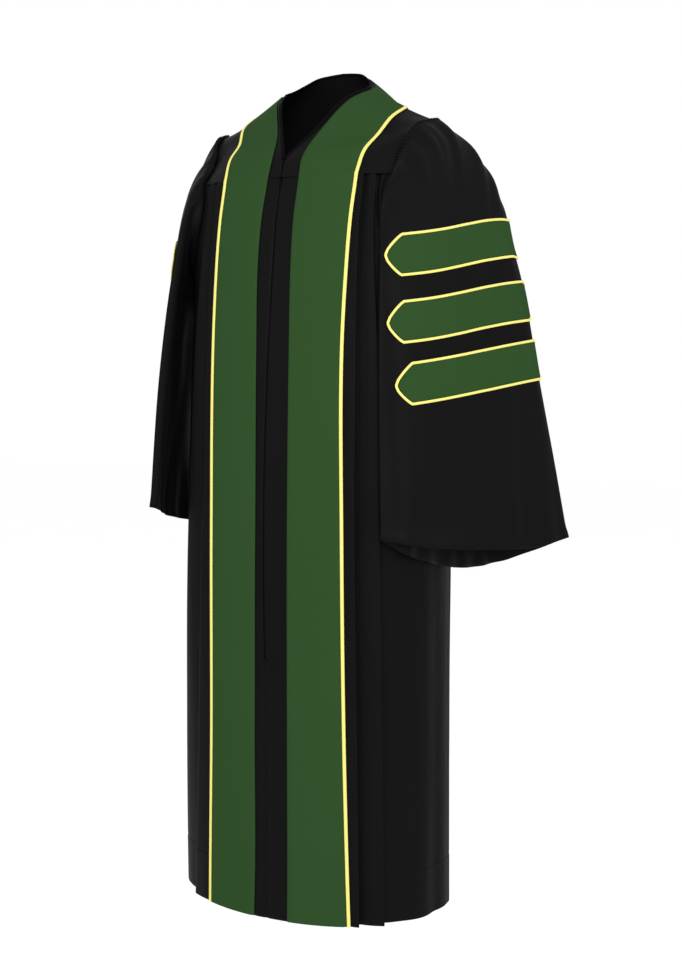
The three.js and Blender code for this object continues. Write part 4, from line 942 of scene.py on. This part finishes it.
def cloth_material(name, shade, light, rough, threads, slant, slub, weave_depth, crumple_depth,
                   sheen=0.0, specular=0.3, sheen_tint=(1, 1, 1), clouds=4.0, rough_swing=0.08):
    """A woven cloth: drifting tone, thread relief over soft crumple, gloss that swings a little."""
    if name in bpy.data.materials:
        return bpy.data.materials[name]
    groups = shared_groups()
    material = bpy.data.materials.new(name)
    material.use_nodes = True
    tree = material.node_tree
    shader = tree.nodes["Principled BSDF"]
    shader.inputs["Specular IOR Level"].default_value = specular
    shader.inputs["Sheen Weight"].default_value = sheen
    shader.inputs["Sheen Roughness"].default_value = 0.45
    shader.inputs["Sheen Tint"].default_value = (*sheen_tint, 1)
    place = tree.nodes.new("ShaderNodeTexCoord")

    def use(group):
        node = tree.nodes.new("ShaderNodeGroup")
        node.node_tree = groups[group]
        return node

    tone, weave, crumple = use("Cloth Tone"), use("Thread Weave"), use("Soft Crumple")
    tree.links.new(place.outputs["Object"], tone.inputs["Vector"])
    tree.links.new(place.outputs["UV"], weave.inputs["Vector"])
    tree.links.new(place.outputs["Object"], crumple.inputs["Vector"])
    tone.inputs["Shade"].default_value = (*shade, 1)
    tone.inputs["Light"].default_value = (*light, 1)
    tone.inputs["Clouds"].default_value = clouds
    weave.inputs["Threads"].default_value = threads
    weave.inputs["Slant"].default_value = slant
    weave.inputs["Slub"].default_value = slub
    tree.links.new(tone.outputs["Color"], shader.inputs["Base Color"])
    swing = maths(tree, "MULTIPLY_ADD", tone.outputs["Mask"], rough_swing, rough - rough_swing / 2)
    tree.links.new(swing, shader.inputs["Roughness"])
    fine = tree.nodes.new("ShaderNodeBump")
    fine.inputs["Distance"].default_value = weave_depth
    fine.inputs["Strength"].default_value = 1.0
    broad = tree.nodes.new("ShaderNodeBump")
    broad.inputs["Distance"].default_value = crumple_depth
    broad.inputs["Strength"].default_value = 1.0
    tree.links.new(crumple.outputs["Height"], broad.inputs["Height"])
    tree.links.new(weave.outputs["Height"], fine.inputs["Height"])
    tree.links.new(broad.outputs["Normal"], fine.inputs["Normal"])
    tree.links.new(fine.outputs["Normal"], shader.inputs["Normal"])
    return material


def scaled(colour, by):
    """A lighter or darker shade of a colour."""
    return tuple(min(1.0, c * by) for c in colour[:3])


def black_satin():
    c = bpy.context.scene.gown_colours
    return cloth_material(
        "Black Satin", scaled(c.robe, 0.75), scaled(c.robe, 1.3), c.robe_roughness, 5200.0, 0.5, 0.5,
        0.00003, 0.0018, specular=0.03, rough_swing=0.1)


def green_velvet():
    c = bpy.context.scene.gown_colours
    return cloth_material(
        "Green Velvet", scaled(c.band, 0.94), scaled(c.band, 1.06), 0.86, 6400.0, 0.1, 0.3,
        0.00003, 0.0005, sheen=0.004, specular=0.02, sheen_tint=(0.7, 1.0, 0.65), clouds=9.0)


def cream_cord():
    c = bpy.context.scene.gown_colours
    return cloth_material(
        "Cream Piping", scaled(c.piping, 0.93), scaled(c.piping, 1.0), 0.5, 3600.0, 0.9, 0.2,
        0.00009, 0.0002, sheen=0.05, specular=0.2, clouds=30.0)


def black_tape():
    c = bpy.context.scene.gown_colours
    return cloth_material(
        "Black Tape", scaled(c.robe, 0.35), scaled(c.robe, 0.6), 0.8, 4200.0, 0.0, 0.2,
        0.00006, 0.0002, specular=0.03)


def zip_black_and_painted_shade():
    """Lacquered teeth, darker than the satin: partly their own black and partly painted shade for the shadow
    in the zip's opening; low gloss, a little worn at the touch.
    """
    if "Zip Enamel" in bpy.data.materials:
        return bpy.data.materials["Zip Enamel"]
    material = bpy.data.materials.new("Zip Enamel")
    material.use_nodes = True
    tree = material.node_tree
    shader = tree.nodes["Principled BSDF"]
    tone = tree.nodes.new("ShaderNodeGroup")
    tone.node_tree = shared_groups()["Cloth Tone"]
    place = tree.nodes.new("ShaderNodeTexCoord")
    tree.links.new(place.outputs["Object"], tone.inputs["Vector"])
    # painted shade: these near-black tones lie below the satin's so the teeth read as the shadow in the
    # opening, as well as being black
    tone.inputs["Shade"].default_value = (0.001, 0.001, 0.0011, 1)
    tone.inputs["Light"].default_value = (0.0022, 0.0022, 0.0024, 1)
    tree.links.new(tone.outputs["Color"], shader.inputs["Base Color"])
    rough = maths(tree, "MULTIPLY_ADD", tone.outputs["Mask"], 0.2, 0.3)
    tree.links.new(rough, shader.inputs["Roughness"])
    shader.inputs["Specular IOR Level"].default_value = 0.03
    return material


# Pieces.
def settle(piece, node):
    """The piece rides on the gown's one body and stands for its solid."""
    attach(piece, "root")
    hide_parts(node)
    return piece


def strip(side, front_cols, yoke_cols, back_cols):
    """Points and directions of a strip that climbs the front, crosses the shoulder and ends
    at the centre back, read off the panels at chosen columns."""
    _, front = front_sheet(side)[:2]
    _, yoke, _ = yoke_sheet(side)
    half, back, _ = back_yoke_sheet()
    back_out = facing(back)[:, : len(half)]
    back = back[:, : len(half)]
    parts = [
        (front[:, front_cols], facing(front)[:, front_cols]),
        (yoke[1:, yoke_cols], facing(yoke)[1:, yoke_cols]),
        (np.swapaxes(back[::-1], 0, 1)[1:, back_cols], np.swapaxes(back_out[::-1], 0, 1)[1:, back_cols]),
    ]
    points = np.concatenate([p for p, n in parts])
    return points, unit(smooth_rows(np.concatenate([n for p, n in parts])))


def smooth_rows(grid, times=3):
    """A grid whose rows are evened with their neighbours a few times; the ends stay."""
    for _ in range(times):
        grid = np.concatenate([grid[:1], (grid[:-2] + 2 * grid[1:-1] + grid[2:]) / 4, grid[-1:]])
    return grid


def make_front(name, side):
    sizes = bpy.context.scene.gown_sizes
    _, points = front_sheet(side)[:2]
    points = side_points(points, side)
    return wall("cloth_" + name, points, facing(points), sizes.wall * 1000, black_satin())


def tube_on(name, points, out, lift, width, height, material, side, **more):
    path = points + out * lift
    if side < 0:
        path, out = path * MIRROR, out * MIRROR
    return sweep(name, path, out, width, height, material, **more)


class GOWN_PG_sizes(bpy.types.PropertyGroup):
    wall: bpy.props.FloatProperty(
        name="Cloth thickness", description="Thickness of the robe's cloth", default=0.0016,
        min=0.0005, max=0.003, unit="LENGTH")
    band: bpy.props.FloatProperty(
        name="Band thickness", description="Thickness of the velvet bands", default=0.0018,
        min=0.0005, max=0.003, unit="LENGTH")
    piping_width: bpy.props.FloatProperty(
        name="Piping width", description="Width of the piping along the bands", default=0.0056,
        min=0.002, max=0.008, unit="LENGTH")
    piping_height: bpy.props.FloatProperty(
        name="Piping height", description="How far the piping stands up", default=0.003,
        min=0.001, max=0.005, unit="LENGTH")
    bar_piping_width: bpy.props.FloatProperty(
        name="Bar piping width", description="Width of the piping round a sleeve bar", default=0.0042,
        min=0.002, max=0.008, unit="LENGTH")
    binding_width: bpy.props.FloatProperty(
        name="Binding width", description="Width of the folded tape at the neck", default=0.006,
        min=0.003, max=0.012, unit="LENGTH")
    floor_drop: bpy.props.FloatProperty(
        name="Floor drop", description="How far the floor lies below the hem", default=0.45,
        min=0.0, max=1.0, unit="LENGTH")


class GOWN_PG_colours(bpy.types.PropertyGroup):
    robe: bpy.props.FloatVectorProperty(
        name="Robe", description="Colour of the satin", default=(0.0036, 0.0036, 0.0038),
        size=3, min=0, max=1, subtype="COLOR")
    band: bpy.props.FloatVectorProperty(
        name="Bands", description="Colour of the velvet bands and bars", default=(0.0186, 0.0482, 0.0141),
        size=3, min=0, max=1, subtype="COLOR")
    piping: bpy.props.FloatVectorProperty(
        name="Piping", description="Colour of the piping", default=(0.66, 0.585, 0.15),
        size=3, min=0, max=1, subtype="COLOR")
    robe_roughness: bpy.props.FloatProperty(
        name="Robe roughness", description="How dull the satin is", default=0.5, min=0, max=1,
        subtype="FACTOR")


class GOWN_OT_fronts(bpy.types.Operator):
    """Build the two pleated front panels"""

    bl_idname = "gown.fronts"
    bl_label = "Fronts"

    def execute(self, context):
        for name, side in (("front_left", 1), ("front_right", -1)):
            piece = settle(make_front(name, side), name)
        return {"FINISHED"}


class GOWN_OT_yokes(bpy.types.Operator):
    """Build the front yokes and the back yoke"""

    bl_idname = "gown.yokes"
    bl_label = "Yokes"

    def execute(self, context):
        thick = context.scene.gown_sizes.wall * 1000
        for name, side in (("yoke_front_left", 1), ("yoke_front_right", -1)):
            points = side_points(yoke_sheet(side)[1], side)
            piece = wall("cloth_" + name, points, facing(points), thick, black_satin())
            settle(piece, name)
        points = back_yoke_sheet()[1]
        piece = wall("cloth_yoke_back", points, facing(points), thick, black_satin())
        settle(piece, "yoke_back")
        return {"FINISHED"}


class GOWN_OT_back(bpy.types.Operator):
    """Build the fluted back panel"""

    bl_idname = "gown.back"
    bl_label = "Back"

    def execute(self, context):
        points = back_sheet()[1]
        thick = context.scene.gown_sizes.wall * 1000
        piece = settle(wall("cloth_back", points, facing(points), thick, black_satin()), "back")
        return {"FINISHED"}


class GOWN_OT_bands(bpy.types.Operator):
    """Build the two velvet bands, each with its piping"""

    bl_idname = "gown.bands"
    bl_label = "Bands and Piping"

    def execute(self, context):
        sizes = context.scene.gown_sizes
        wide, high = sizes.piping_width * 1000, sizes.piping_height * 1000
        for word, side in (("left", 1), ("right", -1)):
            a, b, c = FRONT_BAND
            yoke_cols = np.arange(YOKE_BAND[0], YOKE_BAND[1] + 1)
            points, out = strip(side, np.arange(a, b + 1), yoke_cols, np.arange(*BACK_BAND_COLS))
            points, out = side_points(points, side), side_points(out, side)
            thick = sizes.band * 1000
            lift = FACE_LIFT + thick / 2
            band = wall(f"velvet_band_{word}", points, out, thick, green_velvet(), lift=lift)
            settle(band, f"band_{word}")
            pair, out = strip(side, np.array([b, c]), np.array(YOKE_BAND[1:]), np.array([19, 22]))
            reach = np.linalg.norm(pair[:, 1] - pair[:, 0], axis=1, keepdims=True)
            middle = pair[:, 0] + (pair[:, 1] - pair[:, 0]) * (0.3 + wide / 2) / reach
            cord = tube_on(f"cord_piping_{word}", middle, out[:, 0], FACE_LIFT + high / 2,
                           wide, high, cream_cord(), side)
            settle(cord, f"piping_{word}")
        return {"FINISHED"}


class GOWN_OT_binding(bpy.types.Operator):
    """Build the folded tape round the neck"""

    bl_idname = "gown.binding"
    bl_label = "Neck Binding"

    def execute(self, context):
        wide = context.scene.gown_sizes.binding_width * 1000
        parts = []
        for side in (1, -1):
            steps, grid, edge = yoke_sheet(side)
            keep = steps >= V_STEP
            parts.append((edge[keep], facing(grid)[keep, 0]))
        _, back, edges = back_yoke_sheet()
        path = np.concatenate([parts[0][0], edges[1:-1], (parts[1][0] * MIRROR)[::-1]])
        out = np.concatenate([parts[0][1], facing(back)[-1, 1:-1], (parts[1][1] * MIRROR)[::-1]])
        out = unit(smooth_rows(out, 6))
        # each end stops at the middle of the opening
        middle = front_values(np.array([FRONT_SEAM]))["opening"][0]
        path[0, 0], path[-1, 0] = middle + wide / 2 + 0.3, middle - wide / 2 - 0.3
        piece = sweep("tape_neck_binding", path, out, wide, BINDING_HIGH, black_tape(),
                      sides=14, square=2.4)
        settle(piece, "neck_binding")
        return {"FINISHED"}


class GOWN_OT_zip(bpy.types.Operator):
    """Build the zip: its tape, teeth, slider and the bar tack below it"""

    bl_idname = "gown.zip"
    bl_label = "Zip"

    def execute(self, context):
        heights = np.linspace(ZIP_FOOT + 0.5, FRONT_SEAM - 6, 80)
        middle = front_values(heights)["opening"]
        across = middle[:, None] + np.linspace(-13, 13, 9)[None, :]
        points = on_body(heights, across)
        tape = wall("tape_zip", points, facing(points), 1.2, black_tape(), lift=-1.7)
        settle(tape, "zip_tape")
        # teeth: small blocks to either side of the opening, each pair half a step apart
        places = np.arange(ZIP_FOOT + 4, FRONT_SEAM - 8, 1.5)
        sides = np.where(np.arange(len(places)) % 2 == 0, -0.45, 0.45)
        line = on_body(places, (front_values(places)["opening"] + sides)[:, None])[:, 0]
        block = np.array([[x, y, z] for x in (-0.75, 0.75) for y in (0.3, 1.5) for z in (-0.5, 0.5)])
        faces = np.array([[0, 1, 3, 2], [4, 6, 7, 5], [0, 4, 5, 1], [2, 3, 7, 6], [0, 2, 6, 4], [1, 5, 7, 3]])
        all_points = (line[:, None] + block[None]).reshape(-1, 3)
        all_faces = (faces[None] + 8 * np.arange(len(line))[:, None, None]).reshape(-1, 4)
        teeth = new_piece("zip_teeth", all_points, all_faces, all_points[:, :2], zip_black_and_painted_shade())
        slider = self.rounded("zip_slider", FRONT_SEAM - 10, (2.4, 2.0, 4.4), -0.4)
        tack = self.rounded("zip_bar_tack", ZIP_FOOT - 2, (5.5, 0.9, 1.5), 1.4, black_satin())
        for piece in (teeth, slider, tack):
            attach(piece, "root")
        return {"FINISHED"}

    def rounded(self, name, height, half, lift, material=None):
        """A rounded block: a superellipsoid of given half sizes that stands on the opening."""
        centre = on_body([height], np.array([[front_values(np.array([height]))["opening"][0]]]), lift)[0, 0]
        u, v = np.meshgrid(np.linspace(0, math.tau, 25)[:-1], np.linspace(-1.5, 1.5, 13), indexing="xy")
        power = 0.45

        def soft(x):
            return np.sign(x) * np.abs(x) ** power

        grid = np.stack([
            soft(np.cos(v)) * soft(np.cos(u)) * half[0],
            soft(np.cos(v)) * soft(np.sin(u)) * half[1],
            soft(np.sin(v)) * half[2],
        ], -1) + centre
        rows, count = grid.shape[:2]
        flat = grid.reshape(-1, 3)
        tips = [np.arange(count)[::-1], (rows - 1) * count + np.arange(count)]
        return new_piece(name, flat, quads(rows, count, True), flat[:, :2], material or zip_black_and_painted_shade(), tips)


SLEEVES = {}


def sleeve_of(word):
    """The sleeve's surface, worked out once."""
    if word not in SLEEVES:
        SLEEVES[word] = Sleeve(armhole_loop(), LEFT_RINGS if word == "left" else RIGHT_RINGS)
    return SLEEVES[word]


class GOWN_OT_sleeves(bpy.types.Operator):
    """Build the two bell sleeves, gathered into the armholes"""

    bl_idname = "gown.sleeves"
    bl_label = "Sleeves"

    def execute(self, context):
        thick = context.scene.gown_sizes.wall * 1000
        for word, side in (("left", 1), ("right", -1)):
            points = side_points(sleeve_grid(sleeve_of(word)), side)
            out = facing(points, True)
            piece = wall(f"cloth_sleeve_{word}", points, out, thick, black_satin(), closed=True)
            settle(piece, f"sleeve_{word}")
        return {"FINISHED"}


def bar_half_at(distance):
    """Half a bar's height at a distance from its centre: whole, then falling to each point,
    which is rounded a little, like a superellipse of power 1.15."""
    share = np.clip((BAR_HALF_LONG - np.abs(distance)) / BAR_POINT, 0, 1)
    return 0.8 + (BAR_HALF_HIGH - 0.8) * (1 - (1 - share) ** 1.15) ** (1 / 1.15)


class BarLine:
    """The line round a sleeve along one bar's middle, and places measured from it."""

    def __init__(self, sleeve, level, centre, sway, longer):
        self.sleeve, self.centre, self.sway, self.longer = sleeve, centre, sway, longer
        self.turns = np.linspace(-0.33, 0.25, 400)
        self.downs = sleeve.level_down(np.mod(self.turns, 1.0), level)
        line = sleeve.surface(self.turns, self.downs)
        along = np.concatenate([[0], np.cumsum(np.linalg.norm(np.diff(line, axis=0), axis=1))])
        self.along = along - np.interp(0, self.turns, along)

    def at(self, distance, high):
        """Points and outward directions at distances from the bar's centre and heights over it."""
        high = high - self.sway * np.sin(math.pi * distance / BAR_HALF_LONG)
        place = distance * np.where(distance < 0, 1 + self.longer / BAR_HALF_LONG, 1) + self.centre
        turn = np.interp(place, self.along, self.turns)
        down = np.interp(place, self.along, self.downs)
        down = down - high / self.sleeve.speed(turn, down)
        return self.sleeve.surface(turn, down), self.sleeve.outward(self.sleeve.surface, turn, down)


class GOWN_OT_bars(bpy.types.Operator):
    """Build the three velvet bars of each sleeve, each with its piping"""

    bl_idname = "gown.bars"
    bl_label = "Sleeve Bars"

    def execute(self, context):
        wide = context.scene.gown_sizes.bar_piping_width * 1000
        tip = np.linspace(0, BAR_POINT, 9)
        body = np.linspace(-BAR_HALF_LONG + BAR_POINT, BAR_HALF_LONG - BAR_POINT, 70)
        stations = np.concatenate([tip[:-1] - BAR_HALF_LONG, body, BAR_HALF_LONG - tip[-2::-1]])
        for word, side in (("left", 1), ("right", -1)):
            flip = np.array([side, 1, 1])
            for k, level in enumerate(BAR_LEVELS):
                longer = BAR_LONGER[word][k]
                line = BarLine(sleeve_of(word), level, BAR_CENTRES[word][k], BAR_SWAY[k], longer)
                shares = np.linspace(1, -1, 15)
                high = shares[None, :] * bar_half_at(stations)[:, None]
                points, out = line.at(stations[:, None] + 0 * high, high)
                grid = side_points(np.swapaxes(points, 0, 1), side)
                facing_out = side_points(np.swapaxes(out, 0, 1), side)
                bar = wall(f"velvet_bar_{word}_{k + 1}", grid, facing_out, BAR_WALL, green_velvet(),
                           lift=BAR_LIFT)
                settle(bar, f"bar_{word}_{k + 1}")
                grow = 0.45 + wide / 2
                past = np.clip((np.abs(stations) - BAR_HALF_LONG + BAR_POINT) / BAR_POINT, 0, 1)
                reach = stations + np.sign(stations) * grow * 1.25 * past
                rim = bar_half_at(stations) + grow * np.where(past > 0.99, 0.3, 1)
                loop = np.concatenate([reach, reach[::-1]])
                over = np.concatenate([rim, -rim[::-1]])
                path, facing_path = line.at(loop, over)
                raised = (path + facing_path * BAR_CORD_LIFT) * flip
                cord = sweep(f"cord_bar_{word}_{k + 1}", raised, facing_path * flip,
                             wide, BAR_CORD_HIGH, cream_cord(), closed=True, sides=10)
                settle(cord, f"bar_piping_{word}_{k + 1}")
        return {"FINISHED"}


class GOWN_OT_stage(bpy.types.Operator):
    """Set the camera, a pale floor and soft studio light"""

    bl_idname = "gown.stage"
    bl_label = "Stage"

    def execute(self, context):
        scene = context.scene
        round_by, down_by = math.radians(CAMERA_ROUND), math.radians(CAMERA_DOWN)
        back = Vector((math.sin(round_by), -math.cos(round_by), 0))
        right = Vector((math.cos(round_by), math.sin(round_by), 0))
        data = bpy.data.cameras.new("Camera")
        data.sensor_width = 36.0
        data.lens = FOCAL_PIXELS / PICTURE_HIGH * data.sensor_width
        data.clip_end = 60
        camera = bpy.data.objects.new("Camera", data)
        scene.collection.objects.link(camera)
        rise = Vector((0, 0, (EYE_HEIGHT - NECK_HEIGHT) / 1000))
        camera.location = back * CAMERA_FAR + right * CAMERA_ASIDE + rise
        aim = -back * math.cos(down_by) + Vector((0, 0, -math.sin(down_by)))
        camera.rotation_euler = aim.to_track_quat("-Z", "Y").to_euler()
        scene.camera = camera

        drop = -(NECK_HEIGHT / 1000) - scene.gown_sizes.floor_drop
        mesh = bpy.data.meshes.new("floor")
        corners = [(x * FLOOR_REACH, y * FLOOR_REACH, drop) for x, y in ((-1, -1), (1, -1), (1, 1), (-1, 1))]
        mesh.from_pydata(corners, [], [(0, 1, 2, 3)])
        floor = bpy.data.objects.new("floor", mesh)
        scene.collection.objects.link(floor)
        paper = bpy.data.materials.new("Pale Paper")
        paper.use_nodes = True
        tree = paper.node_tree
        shader = tree.nodes["Principled BSDF"]
        noise = tree.nodes.new("ShaderNodeTexNoise")
        noise.inputs["Scale"].default_value = 3.0
        place = tree.nodes.new("ShaderNodeTexCoord")
        tree.links.new(place.outputs["Object"], noise.inputs["Vector"])
        tint = tree.nodes.new("ShaderNodeMix")
        tint.data_type = "RGBA"
        tint.inputs[6].default_value = (0.985, 0.985, 0.985, 1)
        tint.inputs[7].default_value = (1, 1, 1, 1)
        tree.links.new(noise.outputs["Fac"], tint.inputs[0])
        tree.links.new(tint.outputs[2], shader.inputs["Base Color"])
        shader.inputs["Roughness"].default_value = 0.9
        shader.inputs["Specular IOR Level"].default_value = 0.1
        mesh.materials.append(paper)

        world = bpy.data.worlds.new("Studio")
        world.use_nodes = True
        world.node_tree.nodes["Background"].inputs[0].default_value = (1, 1, 1, 1)
        world.node_tree.nodes["Background"].inputs[1].default_value = 1.0
        scene.world = world
        lamps = [
            ("key", back * 2.2 + right * 2.6 + Vector((0, 0, 1.3)), 0.9, 22),
            ("side", back * 0.9 - right * 2.8 + Vector((0, 0, 0.5)), 1.2, 8),
            ("front", back * 2.4 + Vector((0, 0, 0.25)), 1.2, 40),
        ]
        for name, place, size, power in lamps:
            light = bpy.data.lights.new(name, "AREA")
            light.size = size
            light.energy = power
            lamp = bpy.data.objects.new(name, light)
            lamp.location = place
            lamp.rotation_euler = (Vector((0, 0, -0.6)) - place).to_track_quat("-Z", "Y").to_euler()
            scene.collection.objects.link(lamp)
        scene.view_settings.view_transform = "Standard"
        return {"FINISHED"}


class GOWN_PT_panel(bpy.types.Panel):
    """The gown's pieces and settings in the sidebar"""

    bl_idname = "GOWN_PT_panel"
    bl_label = "Graduation Gown"
    bl_space_type = "VIEW_3D"
    bl_region_type = "UI"
    bl_category = "Gown"

    def draw(self, context):
        column = self.layout.column()
        for settings in (context.scene.gown_sizes, context.scene.gown_colours):
            for name in settings.__annotations__:
                column.prop(settings, name)
        for operator in OPERATORS:
            column.operator(operator.bl_idname)


OPERATORS = [
    GOWN_OT_stage, GOWN_OT_fronts, GOWN_OT_yokes, GOWN_OT_back, GOWN_OT_bands, GOWN_OT_binding,
    GOWN_OT_zip, GOWN_OT_sleeves, GOWN_OT_bars,
]
CLASSES = [GOWN_PG_sizes, GOWN_PG_colours, *OPERATORS, GOWN_PT_panel]


def register():
    for cls in CLASSES:
        bpy.utils.register_class(cls)
    bpy.types.Scene.gown_sizes = bpy.props.PointerProperty(type=GOWN_PG_sizes)
    bpy.types.Scene.gown_colours = bpy.props.PointerProperty(type=GOWN_PG_colours)


def unregister():
    del bpy.types.Scene.gown_colours
    del bpy.types.Scene.gown_sizes
    for cls in reversed(CLASSES):
        bpy.utils.unregister_class(cls)


def main():
    register()
    bpy.ops.gown.stage()
    bpy.ops.gown.fronts()
    bpy.ops.gown.yokes()
    bpy.ops.gown.back()
    bpy.ops.gown.bands()
    bpy.ops.gown.binding()
    bpy.ops.gown.zip()
    bpy.ops.gown.sleeves()
    bpy.ops.gown.bars()


if __name__ == "__main__":
    main()
